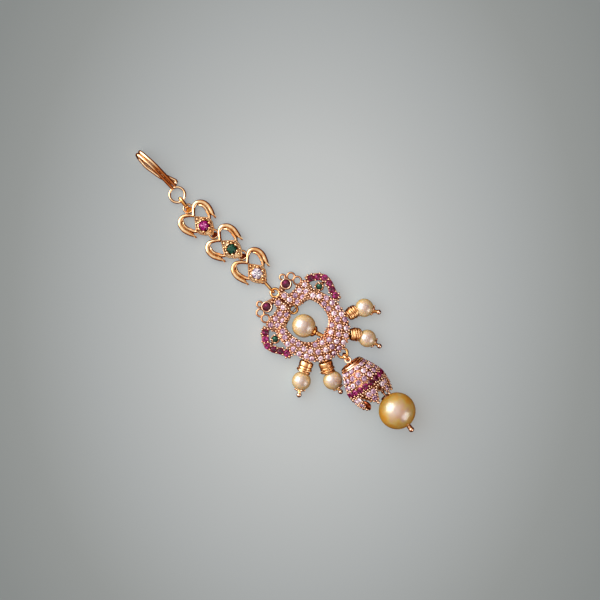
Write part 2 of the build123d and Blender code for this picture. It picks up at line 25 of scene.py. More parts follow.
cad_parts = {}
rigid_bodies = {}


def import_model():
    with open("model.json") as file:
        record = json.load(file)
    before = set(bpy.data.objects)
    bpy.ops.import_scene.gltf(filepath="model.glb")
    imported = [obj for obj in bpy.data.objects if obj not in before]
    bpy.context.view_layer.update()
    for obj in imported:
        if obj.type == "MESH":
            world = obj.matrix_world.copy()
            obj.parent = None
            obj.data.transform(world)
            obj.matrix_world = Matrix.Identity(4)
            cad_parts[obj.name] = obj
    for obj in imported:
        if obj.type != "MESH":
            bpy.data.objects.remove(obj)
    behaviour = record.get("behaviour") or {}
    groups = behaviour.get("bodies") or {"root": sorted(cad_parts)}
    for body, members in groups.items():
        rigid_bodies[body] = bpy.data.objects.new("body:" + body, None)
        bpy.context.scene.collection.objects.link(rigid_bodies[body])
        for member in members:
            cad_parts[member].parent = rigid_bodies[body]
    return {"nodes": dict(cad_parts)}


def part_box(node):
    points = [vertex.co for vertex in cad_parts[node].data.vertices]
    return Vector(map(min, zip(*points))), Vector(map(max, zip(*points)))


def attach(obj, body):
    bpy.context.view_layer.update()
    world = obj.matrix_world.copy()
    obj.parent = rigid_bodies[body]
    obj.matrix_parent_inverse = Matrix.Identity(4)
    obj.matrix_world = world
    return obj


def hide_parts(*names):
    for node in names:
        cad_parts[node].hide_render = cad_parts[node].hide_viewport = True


MM = 0.001
# from the medallion's own middle to the middle of the jewel's footprint
MIDDLE = Vector((1.035, -10.973319, 0.0))
UP = Vector((0.0, 0.0, 1.0))
# vertices nearer than this are one
MERGE = 0.0005
# nearly all of a noise pattern's values lie between these
NOISE_LOW, NOISE_HIGH = 0.3, 0.7
# a scale so large that height counts for nothing in a pattern seen from above
FLAT = 1e6
Outline = tuple[tuple[float, float], ...]
Point = tuple[float, float, float]
Tones = tuple[tuple[float, str], ...]
# places on a line and the thickness there, or places on the metal and the way out of it
Line = tuple[tuple[float, float, float, float], ...]
Spots = list[tuple[Vector, Vector]]

log = logging.getLogger("maang_tikka")
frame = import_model()
bpy.context.view_layer.update()


class Slot(Enum):
    """The record's material slots; a stone's finish carries one, which names its paving."""

    GOLD = "gold"
    RUBY = "ruby"
    EMERALD = "emerald"
    WHITE = "white_stone"


class Lit(Enum):
    """Which pieces a lamp lights, or is shaded by: those of its list, or all others."""

    LISTED = "INCLUDE"
    OTHERS = "EXCLUDE"


# --- materials -----------------------------------------------------------------------------------


def linear(code: str) -> tuple[float, float, float, float]:
    """Turn an sRGB hex colour to linear.

    Args:
        code: The colour as "#RRGGBB".

    Returns:
        Red, green, blue and alpha.
    """
    parts = [int(code[i:i + 2], 16) / 255 for i in (1, 3, 5)]
    red, green, blue = (c / 12.92 if c <= 0.04045 else ((c + 0.055) / 1.055) ** 2.4 for c in parts)
    return red, green, blue, 1.0


def add_node(tree: NodeTree, kind: str, settings: dict[Any, Any] | None = None,
             links: dict[Any, Any] | None = None, stops: Tones = ()) -> Node:
    """Add one node with its settings and links.

    Args:
        tree: The node tree that takes the node.
        kind: The node's type without its family, such as "TexNoise".
        settings: Values by attribute name, or else by the input's name or number.
        links: Output sockets, or nodes for their first output, by the input that they feed.
        stops: A colour ramp's positions and hex colours, in order.

    Returns:
        The new node.
    """
    node = tree.nodes.new(f"ShaderNode{kind}")
    for name, value in (settings or {}).items():
        if isinstance(name, str) and hasattr(node, name):
            setattr(node, name, value)
        else:
            node.inputs[name].default_value = value
    for name, source in (links or {}).items():
        output = source if isinstance(source, NodeSocket) else source.outputs[0]
        tree.links.new(output, node.inputs[name])
    for number, (position, code) in enumerate(stops):
        elements = node.color_ramp.elements
        element = elements[number] if number < len(elements) else elements.new(position)
        element.position, element.color = position, linear(code)
    return node


def empty_tree(owner: Material | World) -> NodeTree:
    """Give a material or the world an empty node tree.

    Args:
        owner: The material or world.

    Returns:
        Its tree.
    """
    owner.use_nodes = True
    owner.node_tree.nodes.clear()
    return owner.node_tree


@dataclass(frozen=True)
class GoldFinish:
    """Gold-plated brass. Plating over polished metal gives a warm mirror, with soft cloudy changes
    of tone and a faint grain. Its recesses get painted shade, dark and red, from an occlusion mask."""

    name: str
    light: str
    deep: str
    roughness: float
    # painted shade: the colour laid into recesses, and how far the occlusion mask looks for cover
    painted_shade: str = "#6E240A"
    painted_shade_mm: float = 0.6
    # painted shade in recesses: the share of open air where it is darkest, and where it ends
    painted_shade_open: tuple[float, float] = (0.2, 0.75)
    cloud_mm: float = 1.6
    # the metal's grain is finer, a few hundredths of a millimetre; it is drawn as coarse as shows
    grain_mm: float = 0.14
    grain_high_mm: float = 0.01
    bump: float = 0.12
    # slow unevenness left by hand polishing: distance between its crests, and their height
    wave_mm: float = 1.1
    wave_high_mm: float = 0.03
    # its smoothest and roughest spots, as shares of the roughness
    uneven: tuple[float, float] = (0.75, 1.35)
    slot: Slot = Slot.GOLD
    # edges that turn by more than this many degrees stay sharp
    sharp: float = 35.0

    @cache
    def make(self) -> Material:
        """Build the material, the first time that it is asked for.

        Returns:
            The material.
        """
        material = bpy.data.materials.new(self.name)
        tree = empty_tree(material)
        place = add_node(tree, "TexCoord").outputs["Object"]
        cloud, grain, wave = (
            add_node(tree, "TexNoise", {"Scale": 1 / (size * MM), "Detail": detail}, {"Vector": place})
            for size, detail in ((self.cloud_mm, 3.0), (self.grain_mm, 2.0), (self.wave_mm, 1.0)))
        tone = add_node(tree, "ValToRGB", links={"Fac": cloud},
                        stops=((0.35, self.deep), (0.65, self.light)))
        # painted shade: an ambient occlusion mask darkens the recesses towards the painted shade colour
        occlusion = add_node(tree, "AmbientOcclusion",
                            {"samples": 6, "Distance": self.painted_shade_mm * MM})
        unshaded = add_node(tree, "MapRange",
                           {"From Min": self.painted_shade_open[0], "From Max": self.painted_shade_open[1]},
                           {"Value": occlusion.outputs["AO"]})
        # inputs 0, 6 and 7 of a colour mix are its share and its two colours, output 2 the result
        colour = add_node(tree, "Mix", {"data_type": "RGBA", 6: linear(self.painted_shade)},
                          {0: unshaded, 7: tone})
        gloss = add_node(tree, "MapRange",
                         {"From Min": NOISE_LOW, "From Max": NOISE_HIGH,
                          "To Min": self.roughness * self.uneven[0],
                          "To Max": self.roughness * self.uneven[1]}, {"Value": grain})
        waved = add_node(tree, "Bump", {"Strength": 1.0, "Distance": self.wave_high_mm * MM},
                         {"Height": wave})
        bump = add_node(tree, "Bump", {"Strength": self.bump, "Distance": self.grain_high_mm * MM},
                        {"Height": grain, "Normal": waved})
        shader = add_node(tree, "BsdfPrincipled", {"Metallic": 1.0},
                          {"Base Color": colour.outputs[2], "Roughness": gloss, "Normal": bump})
        add_node(tree, "OutputMaterial", links={"Surface": shader})
        return material


@dataclass(frozen=True)
class StoneFinish:
    """A faceted stone. Each facet gets a painted tone of its own, from dark through the body colour to a
    flash: painted reflections and highlights, for the part of the room that the facet would return."""

    name: str
    slot: Slot
    dark: str
    body: str
    pale: str
    painted_flash: str
    ior: float
    gloss: float
    roughness: float = 0.06
    # a stone's facets are flat
    sharp: float = 0.0

    @cache
    def make(self) -> Material:
        """Build the material, the first time that it is asked for.

        Returns:
            The material.
        """
        material = bpy.data.materials.new(self.name)
        tree = empty_tree(material)
        # painted reflections: the tone painted on each facet picks its colour from the ramp
        tone = add_node(tree, "Attribute", {"attribute_name": StoneCut.PAINTED_TONE})
        colour = add_node(tree, "ValToRGB", links={"Fac": tone.outputs["Fac"]},
                          stops=((0.0, self.dark), (0.35, self.body), (0.75, self.pale), (1.0, self.painted_flash)))
        shader = add_node(tree, "BsdfPrincipled",
                          {"Roughness": self.roughness, "IOR": self.ior, "Specular IOR Level": self.gloss},
                          {"Base Color": colour})
        add_node(tree, "OutputMaterial", links={"Surface": shader})
        return material


@dataclass(frozen=True)
class PearlFinish:
    """Nacre, polished by tumbling: a soft wide gloss over a satin body, with faint clouds in the layers. Its
    colour is painted by distance from the middle seen from above: a rosy overtone in the middle, for light
    returned from deep layers, and a deeper body colour towards the sides, for their shade and reflections."""

    name: str
    middle: str
    body: str
    side: str
    # how far the clouds shift the colours, as a share of the radius
    cloudy: float = 0.14
    # the layers' clouds, as a share of the radius: 2 to 3 mm on the largest pearl
    cloud: float = 0.45
    # the finest growth lines are a few micrometres, drawn here at 0.1 mm
    growth_mm: float = 0.1
    growth_high_mm: float = 0.01
    # how deep light goes, as a share of the radius, and how far red, green and blue get
    depth: float = 0.6
    colour_depth: tuple[float, ...] = (1.0, 0.7, 0.45)

    def make(self, node: str) -> Material:
        """Build the material for one pearl.

        Args:
            node: The CAD node of the pearl, which gives the middle and the size of the pattern.

        Returns:
            The material.
        """
        low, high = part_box(node)
        centre, radius = (low + high) / 2, (high.z - low.z) / 2
        material = bpy.data.materials.new(f"{self.name}_{node}")
        tree = empty_tree(material)
        place = add_node(tree, "TexCoord").outputs["Object"]
        # painted light: the colour follows the distance from the pearl's middle seen from above, not the
        # light on it
        local = add_node(tree, "Mapping", {"vector_type": "TEXTURE", "Location": centre,
                                           "Scale": (radius, radius, FLAT)}, {"Vector": place})
        reach = add_node(tree, "VectorMath", {"operation": "LENGTH"}, {0: local})
        cloud = add_node(tree, "TexNoise", {"Scale": 1 / (self.cloud * radius), "Detail": 2.0},
                         {"Vector": place})
        ripple = add_node(tree, "MapRange",
                          {"From Min": NOISE_LOW, "From Max": NOISE_HIGH,
                           "To Min": -self.cloudy, "To Max": self.cloudy}, {"Value": cloud})
        mixed = add_node(tree, "Math", {"operation": "ADD"}, {0: reach.outputs["Value"], 1: ripple})
        colour = add_node(tree, "ValToRGB", links={"Fac": mixed}, stops=(
            (0.0, self.middle), (0.3, self.middle), (0.65, self.body), (0.95, self.side)))
        skin = add_node(tree, "TexNoise", {"Scale": 1 / (self.growth_mm * MM), "Detail": 2.0},
                        {"Vector": place})
        bump = add_node(tree, "Bump", {"Strength": 0.05, "Distance": self.growth_high_mm * MM},
                        {"Height": skin})
        shader = add_node(tree, "BsdfPrincipled",
                          {"Roughness": 0.3, "IOR": 1.8, "Specular IOR Level": 1.0,
                           "Subsurface Weight": 0.85, "Subsurface Scale": self.depth * radius,
                           "Subsurface Radius": self.colour_depth,
                           "Coat Weight": 0.85, "Coat Roughness": 0.2, "Coat IOR": 1.65},
                          {"Base Color": colour, "Normal": bump})
        add_node(tree, "OutputMaterial", links={"Surface": shader})
        return material


@dataclass(frozen=True)
class PaperFinish:
    """Matt backdrop paper with a painted pool of light, pale in the middle and greyer towards its
    edges, and a painted glow, so that shadows on it stay faint."""

    # the palest point of the painted pool of light, and the pattern's turn about the vertical in degrees
    middle: tuple[float, float]
    turn: float
    name: str = "backdrop_paper"
    # distances from the middle in mm, and the painted light's colour there
    painted_light_tones: Tones = (
        (0.0, "#C1CDD2"), (27.0, "#B6C1C6"), (37.5, "#ADB8BD"), (52.0, "#A1ACB1"),
        (72.5, "#8E989B"), (90.0, "#838D90"), (140.0, "#7E888B"))
    painted_glow: float = 0.485
    # the painted pool of light is longer than it is wide
    long_share: float = 0.72
    fibre_mm: float = 0.5
    fibre_high_mm: float = 0.05

    def make(self) -> Material:
        """Build the material.

        Returns:
            The material.
        """
        material = bpy.data.materials.new(self.name)
        tree = empty_tree(material)
        place = add_node(tree, "TexCoord").outputs["Object"]
        far = self.painted_light_tones[-1][0]
        local = add_node(tree, "Mapping",
                         {"vector_type": "TEXTURE", "Location": Vector((*self.middle, 0.0)) * MM,
                          "Rotation": (0.0, 0.0, radians(self.turn)),
                          "Scale": (far * MM, far * MM / self.long_share, FLAT)},
                         {"Vector": place})
        reach = add_node(tree, "VectorMath", {"operation": "LENGTH"}, {0: local})
        colour = add_node(tree, "ValToRGB", links={"Fac": reach.outputs["Value"]},
                          stops=tuple((at / far, code) for at, code in self.painted_light_tones))
        fibre = add_node(tree, "TexNoise", {"Scale": 1 / (self.fibre_mm * MM)}, {"Vector": place})
        bump = add_node(tree, "Bump", {"Strength": 0.03, "Distance": self.fibre_high_mm * MM},
                        {"Height": fibre})
        # painted glow: the paper emits its own colour, which washes out shadows
        shader = add_node(tree, "BsdfPrincipled",
                          {"Roughness": 0.9, "Specular IOR Level": 0.1, "Emission Strength": self.painted_glow},
                          {"Base Color": colour, "Emission Color": colour, "Normal": bump})
        add_node(tree, "OutputMaterial", links={"Surface": shader})
        return material


# cast brass, plated and polished by hand: rosy gold with clouds of tone, and dark red painted shade in its
# hollows
CAST_GOLD = GoldFinish("gold_plated_casting", "#E8B48A", "#C48258", 0.18, "#521C10", 1.1, (0.5, 0.95))
# wire drawn through a steel die: an even yellow mirror
WIRE_GOLD = GoldFinish("gold_plated_drawn_wire", "#FFDC9C", "#EAAA5C", 0.11, painted_shade_mm=0.3, bump=0.05)
# grains rounded with a cupped burnisher: small rosy balls, each with one bright glint
GRAIN_GOLD = GoldFinish("bright_cut_grains", "#F8D8BC", "#F0BC96", 0.13, painted_shade_mm=0.3, wave_high_mm=0.0)
# the hearts are cast too: painted shade lays dark red lines along their inner edges
HEART_GOLD = GoldFinish("gold_plated_polished_casting", "#FFE1B4", "#E4A86C", 0.13, painted_shade_mm=0.75,
                        painted_shade_open=(0.3, 0.72), bump=0.06)
# the hook's heavy wire is drawn and tumbled: a pale mirror, even from end to end
HOOK_GOLD = GoldFinish("gold_plated_heavy_wire", "#FFE6C2", "#F4C490", 0.12, painted_shade_mm=0.25, bump=0.0,
                       wave_high_mm=0.0)
# the sleeves' strip is rolled and wound by hand: a soft wide shine, with warm painted shade between the turns
AMBER_GOLD = GoldFinish("gold_plated_sheet", "#FFDCA6", "#EEB074", 0.26, painted_shade_mm=0.2,
                        painted_shade_open=(0.1, 0.55), bump=0.05, wave_high_mm=0.006)
# the left petal's curled inner side: a darker brownish red gold with a dull shine
PETAL_GOLD = GoldFinish("gold_plated_casting_skin", "#B8683E", "#7C3620", 0.2, painted_shade_mm=0.3)
# a full pool of solder, plated with its heart: deep honey yellow
HONEY_GOLD = GoldFinish("gold_solder", "#E8A040", "#A85E18", 0.2, painted_shade_mm=0.3)
# the bell's casting, painted darker than the medallion's to stand for the bell's shade; painted shade fills
# its hollows too
SHADED_BELL_GOLD = GoldFinish("gold_plated_bell_casting", "#D8A078", "#A8683E", 0.24, "#521C10", 1.1, (0.5, 0.95))
# painted shade: a dark brownish red gold, laid at the foot of grooves and in the eyes' holes, where shade
# falls
SHADE_GOLD = GoldFinish("unpolished_solder", "#7A3016", "#48140A", 0.25)
# cubic zirconia, facets ground and polished: pale rosy lilac, with painted reflections: grey depths and white
# flashes
WHITE_STONE = StoneFinish("cut_cubic_zirconia", Slot.WHITE, "#2A1630", "#946A90", "#D6B2CA", "#FFFAFF",
                          2.1, 0.35)
# ruby glass, ground and polished: deep purple red, with painted reflections almost black in its depths
RUBY_STONE = StoneFinish("cut_ruby_glass", Slot.RUBY, "#24040E", "#500828", "#720E40", "#B23C84", 1.75, 0.2)
# the ruby of the first heart is larger, and its painted reflections livelier
HEART_RUBY = StoneFinish("cut_bright_ruby_glass", Slot.RUBY, "#3A0428", "#7E0A5C", "#A8187A", "#F09CD4",
                         1.75, 0.2)
# the clear stone of the third heart is larger too, and its painted depths are blue grey
CLEAR_STONE = StoneFinish("cut_clear_cubic_zirconia", Slot.WHITE, "#34344E", "#8A82A0", "#DACEDF", "#FFFFFF",
                          2.1, 0.35)
# emerald glass, ground and polished: black green, with a painted pale green reflection on one facet at a time
EMERALD_STONE = StoneFinish("cut_emerald_glass", Slot.EMERALD, "#021A12", "#0A3C2C", "#185C48", "#7CC0A6",
                            1.6, 0.25)
# a cream nacre with its colours painted by distance: a rosy grey middle, for light returned from deep layers,
# and yellower sides
CREAM_NACRE = PearlFinish("cream_nacre", "#BAA69C", "#D6C4A0", "#D6B97C")
# a golden nacre: the same painted rosy middle over olive gold, which deepens to amber at its painted sides
GOLDEN_NACRE = PearlFinish("golden_nacre", "#C2A694", "#CCB66C", "#D49E34", 0.2)


# --- shaping ---------------------------------------------------------------------------------------


def frame_on(at: Vector, out: Vector, across: Vector | None = None) -> Matrix:
    """A place whose z axis points out of a surface.

    Args:
        at: The origin.
        out: The direction of z.
        across: A direction that x follows as nearly as it can.

    Returns:
        The place as a matrix.
    """
    z = out.normalized()
    hint = across or (Vector((1, 0, 0)) if abs(z.x) < 0.9 else Vector((0, 1, 0)))
    y = z.cross(hint).normalized()
    return Matrix.Translation(at) @ Matrix((y.cross(z), y, z)).transposed().to_4x4()


def around(angle: float, reach: float, high: float = 0.0) -> Vector:
    """A place at an angle round the z axis, some way from it and at some height."""
    return Vector((cos(angle) * reach, sin(angle) * reach, high))


def set_down(name: str, data: Any) -> Object:
    """Put data into the scene as an object at the origin.

    Args:
        name: The object's name.
        data: Its mesh, curve, camera or light.

    Returns:
        The object.
    """
    holder = bpy.data.objects.new(name, data)
    bpy.context.scene.collection.objects.link(holder)
    return holder


def mesh_of(shape: BMesh, name: str = "part") -> Mesh:
    """Turn a shape to a mesh and free it.

    Args:
        shape: The shape.
        name: The mesh's name.

    Returns:
        The mesh.
    """
    data = bpy.data.meshes.new(name)
    shape.to_mesh(data)
    shape.free()
    return data


class Workpiece:
    """A piece on the bench: shapes are added to one mesh, which is finished as one object."""

    def __init__(self, name: str, node: str | None = None) -> None:
        """Start with an empty mesh, or with a merged copy of a CAD piece.

        Args:
            name: The piece's name.
            node: The CAD piece.
        """
        self.name = name
        self.mesh = bmesh.new()
        if node is not None:
            self.add(frame["nodes"][node].data, Matrix.Scale(1 / MM, 4))
            bmesh.ops.remove_doubles(self.mesh, verts=self.mesh.verts, dist=MERGE)
            self.mesh.normal_update()

    def add(self, part: BMesh | Mesh, place: Matrix = Matrix()) -> None:
        """Join a shape to the piece.

        Args:
            part: The shape, which is used up, or a mesh, which is kept.
            place: Where it goes.
        """
        data = part if isinstance(part, Mesh) else mesh_of(part)
        before = len(self.mesh.verts)
        self.mesh.from_mesh(data)
        self.mesh.verts.ensure_lookup_table()
        bmesh.ops.transform(self.mesh, matrix=place, verts=self.mesh.verts[before:])
        if data is not part:
            bpy.data.meshes.remove(data)

    def strew(self, spots: Spots, radius: float, proud: float, chance: random.Random,
              spread: float = 0.12) -> None:
        """Raise a grain, a small ball of gold, at each of many places.

        Args:
            spots: Points of the surface and its directions there.
            radius: A grain's radius.
            proud: How far a grain's middle stands out of the surface.
            chance: Gives each grain its own size.
            spread: The largest share by which a size differs.
        """
        grain = mesh_of(ball((0, 0, 0), radius, 8, 6))
        for at, out in spots:
            size = 1 + chance.uniform(-spread, spread)
            self.add(grain, frame_on(at + out * proud, out) @ Matrix.Scale(size, 4))
        bpy.data.meshes.remove(grain)

    def finish(self, finish: GoldFinish | StoneFinish, *replaces: str) -> Object:
        """Turn the mesh to metres and make it an object of the jewel.

        Args:
            finish: The piece's finish.
            replaces: CAD nodes that the piece stands for.

        Returns:
            The object.
        """
        bmesh.ops.transform(self.mesh, matrix=Matrix.Scale(MM, 4), verts=self.mesh.verts)
        for face in self.mesh.faces:
            face.smooth = finish.sharp > 0
        data = mesh_of(self.mesh, self.name)
        if finish.sharp > 0:
            data.set_sharp_from_angle(angle=radians(finish.sharp))
        data.materials.append(finish.make())
        piece = set_down(self.name, data)
        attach(piece, "root")
        if replaces:
            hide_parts(*replaces)
        log.info("%s: %d faces", self.name, len(data.polygons))
        return piece


def dress_node(node: str, material: Material) -> None:
    """Give a CAD node its finish.

    Args:
        node: The node's name.
        material: The finish.
    """
    for slot in frame["nodes"][node].material_slots:
        slot.material = material
    log.info("%s: %s", node, material.name)


def closed_shape(shape: BMesh) -> BMesh:
    """Merge doubles and turn the faces outwards.

    Args:
        shape: A closed shape.

    Returns:
        The same shape.
    """
    bmesh.ops.remove_doubles(shape, verts=shape.verts, dist=MERGE)
    bmesh.ops.recalc_face_normals(shape, faces=shape.faces)
    return shape


def full_turn(shape: BMesh, steps: int) -> BMesh:
    """Turn an outline right round the z axis.

    Args:
        shape: The outline.
        steps: Faces round the shape.

    Returns:
        The closed shape.
    """
    bmesh.ops.spin(shape, geom=[*shape.verts, *shape.edges], cent=(0, 0, 0), axis=(0, 0, 1),
                   dvec=(0, 0, 0), angle=2 * pi, steps=steps, use_merge=True,
                   use_normal_flip=False, use_duplicate=False)
    return closed_shape(shape)


def turned_shape(profile: Outline, steps: int = 32) -> BMesh:
    """A shape turned on a lathe, round the z axis.

    Args:
        profile: Radius and height of each corner, from the foot to the top.
        steps: Faces round the shape.

    Returns:
        The shape.
    """
    shape = bmesh.new()
    corners = [shape.verts.new((r, 0.0, z)) for r, z in profile]
    for pair in zip(corners, corners[1:]):
        shape.edges.new(pair)
    return full_turn(shape, steps)


def wire_ring(radius: float, wire: float, steps: int = 40, sides: int = 12) -> BMesh:
    """A closed ring of round wire round the z axis.

    Args:
        radius: From the middle to the middle of the wire.
        wire: The wire's diameter.
        steps: Faces along the wire.
        sides: Faces round the wire.

    Returns:
        The ring.
    """
    shape = bmesh.new()
    upright = Matrix.Translation((radius, 0, 0)) @ Matrix.Rotation(pi / 2, 4, "X")
    bmesh.ops.create_circle(shape, segments=sides, radius=wire / 2, cap_ends=False, matrix=upright)
    return full_turn(shape, steps)


def ball(at: Point | Vector, radius: float, sides: int = 14,
         rows: int = 8) -> BMesh:
    """A drop of metal, as left by a torch on the end of a wire.

    Args:
        at: Its middle.
        radius: Its radius.
        sides: Faces round it.
        rows: Faces from pole to pole.

    Returns:
        The drop.
    """
    shape = bmesh.new()
    bmesh.ops.create_uvsphere(shape, u_segments=sides, v_segments=rows, radius=radius,
                              matrix=Matrix.Translation(at))
    return shape


def bent_shape(points: Line, closed: bool, corners: Collection[int], **settings: Any) -> BMesh:
    """What a bevelled curve through points makes.

    Args:
        points: Each point's place, and its share of the bevel.
        closed: Whether the curve returns to its start.
        corners: Numbers of the points that stay pointed.
        settings: The curve's other settings.

    Returns:
        The shape.
    """
    curve = bpy.data.curves.new("line", "CURVE")
    curve.resolution_u, curve.bevel_resolution = 6, 3
    for name, value in settings.items():
        setattr(curve, name, value)
    spline = curve.splines.new("BEZIER")
    spline.bezier_points.add(len(points) - 1)
    for number, (point, (x, y, z, radius)) in enumerate(zip(spline.bezier_points, points)):
        point.co, point.radius = (x, y, z), radius
        point.handle_left_type = point.handle_right_type = "VECTOR" if number in corners else "AUTO"
    spline.use_cyclic_u = closed
    holder = set_down("line", curve)
    bpy.context.view_layer.update()
    data = bpy.data.meshes.new_from_object(holder.evaluated_get(bpy.context.evaluated_depsgraph_get()))
    shape = bmesh.new()
    shape.from_mesh(data)
    bpy.data.batch_remove([holder, curve, data])
    return closed_shape(shape)


def rounded_plate(outline: Outline, corners: Collection[int], heights: tuple[float, float],
                  edge: float) -> BMesh:
    """A plate with rounded edges, from a smooth outline with some pointed corners.

    Args:
        outline: The points of the closed outline.
        corners: Numbers of the points that stay pointed.
        heights: Heights of the plate's back and face.
        edge: Radius of the rounding.

    Returns:
        The plate.
    """
    low, high = heights
    shape = bent_shape(tuple((x, y, 0.0, 1.0) for x, y in outline), True, corners, dimensions="2D",
                       fill_mode="BOTH", extrude=(high - low) / 2 - edge, bevel_depth=edge, offset=-edge)
    bmesh.ops.translate(shape, vec=(0, 0, (low + high) / 2), verts=shape.verts)
    return shape


def strand(points: Line, closed: bool = False, corners: Collection[int] = ()) -> BMesh:
    """A round strand through places with a radius each, bent sharply at those numbered in corners."""
    return bent_shape(points, closed, corners, dimensions="3D", bevel_depth=1.0, use_fill_caps=True)


def smooth_line(points: Outline, step: float, parts: int = 20) -> list[Vector]:
    """Evenly spaced places on a smooth line through points.

    Args:
        points: The points.
        step: The distance wanted between places.
        parts: How finely the line is measured between two points.

    Returns:
        The places, at height 0.
    """
    knots = [Vector((x, y, 0.0)) for x, y in (points[0], *points, points[-1])]
    fine = [0.5 * (2 * b + (c - a) * t + (2 * a - 5 * b + 4 * c - d) * t * t
                   + (3 * b - a - 3 * c + d) * t ** 3)
            for a, b, c, d in zip(knots, knots[1:], knots[2:], knots[3:])
            for t in (part / parts for part in range(parts))]
    fine.append(knots[-1])
    lengths = [(q - p).length for p, q in zip(fine, fine[1:])]
    spaces = max(1, round(sum(lengths) / step))
    places, gone, index = [], 0.0, 0
    for goal in (sum(lengths) * n / spaces for n in range(spaces + 1)):
        while index < len(lengths) - 1 and gone + lengths[index] < goal:
            gone += lengths[index]
            index += 1
        share = (goal - gone) / lengths[index]
        places.append(fine[index].lerp(fine[index + 1], min(share, 1.0)))
    return places


# --- stones and grains -----------------------------------------------------------------------------


@dataclass(frozen=True)
class StoneCut:
    """A small brilliant cut stone: table, star and kite facets, a low girdle. Its sizes are shares
    of its radius, but for the girdle."""

    PAINTED_TONE = "tone"
    # facets of different rings differ in height by more than this
    RING = 0.05
    sides: int = 8
    table: float = 0.56
    crown: float = 0.36
    girdle: float = 0.14
    # painted reflections: tones of the table's facets, the crown's facets and the girdle
    table_painted_tones: tuple[float, ...] = (0.1, 0.45, 0.8, 0.95, 0.6, 0.3, 0.7, 0.15)
    crown_painted_tones: tuple[float, ...] = (0.7, 0.95, 0.8)
    girdle_painted_tone: float = 0.1

    def cut(self, radius: float) -> BMesh:
        """Cut the stone with its girdle's upper edge at z = 0.

        Args:
            radius: The girdle's radius.

        Returns:
            The stone, with a painted reflection tone for each facet.
        """
        shape = bmesh.new()
        tone = shape.faces.layers.float.new(self.PAINTED_TONE)
        bmesh.ops.create_circle(shape, segments=self.sides, radius=radius * self.table, cap_ends=True,
                                matrix=Matrix.Translation((0, 0, radius * self.crown)))
        crown = bmesh.ops.extrude_edge_only(shape, edges=list(shape.edges))
        outer = [v for v in crown["geom"] if isinstance(v, BMVert)]
        spread = Matrix.Rotation(pi / self.sides, 4, "Z") @ Matrix.Diagonal(
            (1 / self.table, 1 / self.table, 0.0, 1.0))
        bmesh.ops.transform(shape, matrix=spread, verts=outer)
        bmesh.ops.triangulate(shape, faces=[f for f in shape.faces if len(f.verts) == 4])
        low = [edge for edge in shape.edges if all(v in outer for v in edge.verts)]
        skirt = bmesh.ops.extrude_edge_only(shape, edges=low)
        foot = [v for v in skirt["geom"] if isinstance(v, BMVert)]
        bmesh.ops.translate(shape, vec=(0, 0, -self.girdle), verts=foot)
        bmesh.ops.contextual_create(shape, geom=[e for e in shape.edges if e.is_boundary])
        bmesh.ops.recalc_face_normals(shape, faces=shape.faces)
        top = [f for f in shape.faces if len(f.verts) == self.sides and f.normal.z > 0.9]
        bmesh.ops.poke(shape, faces=top)
        shape.normal_update()
        # the operators leave the facets in no fixed order, and the painted tones follow their order
        shape.faces.sort(key=self._rank)
        for number, face in enumerate(shape.faces):
            if number < self.sides:
                face[tone] = self.table_painted_tones[number % len(self.table_painted_tones)]
            else:
                face[tone] = self.crown_painted_tones[number % 3] if face.normal.z > 0.05 else self.girdle_painted_tone
        return shape

    def _rank(self, face: BMFace) -> float:
        """A facet's number in the order ring by ring from the top, and round each ring.

        Args:
            face: The facet.

        Returns:
            The number.
        """
        at = face.calc_center_median()
        ring = round(at.z / self.RING)
        return (atan2(at.y, at.x) + 0.1) % (2 * pi) - 10 * ring


@dataclass
class SetStone:
    """One stone in its place."""

    at: Vector
    out: Vector
    radius: float


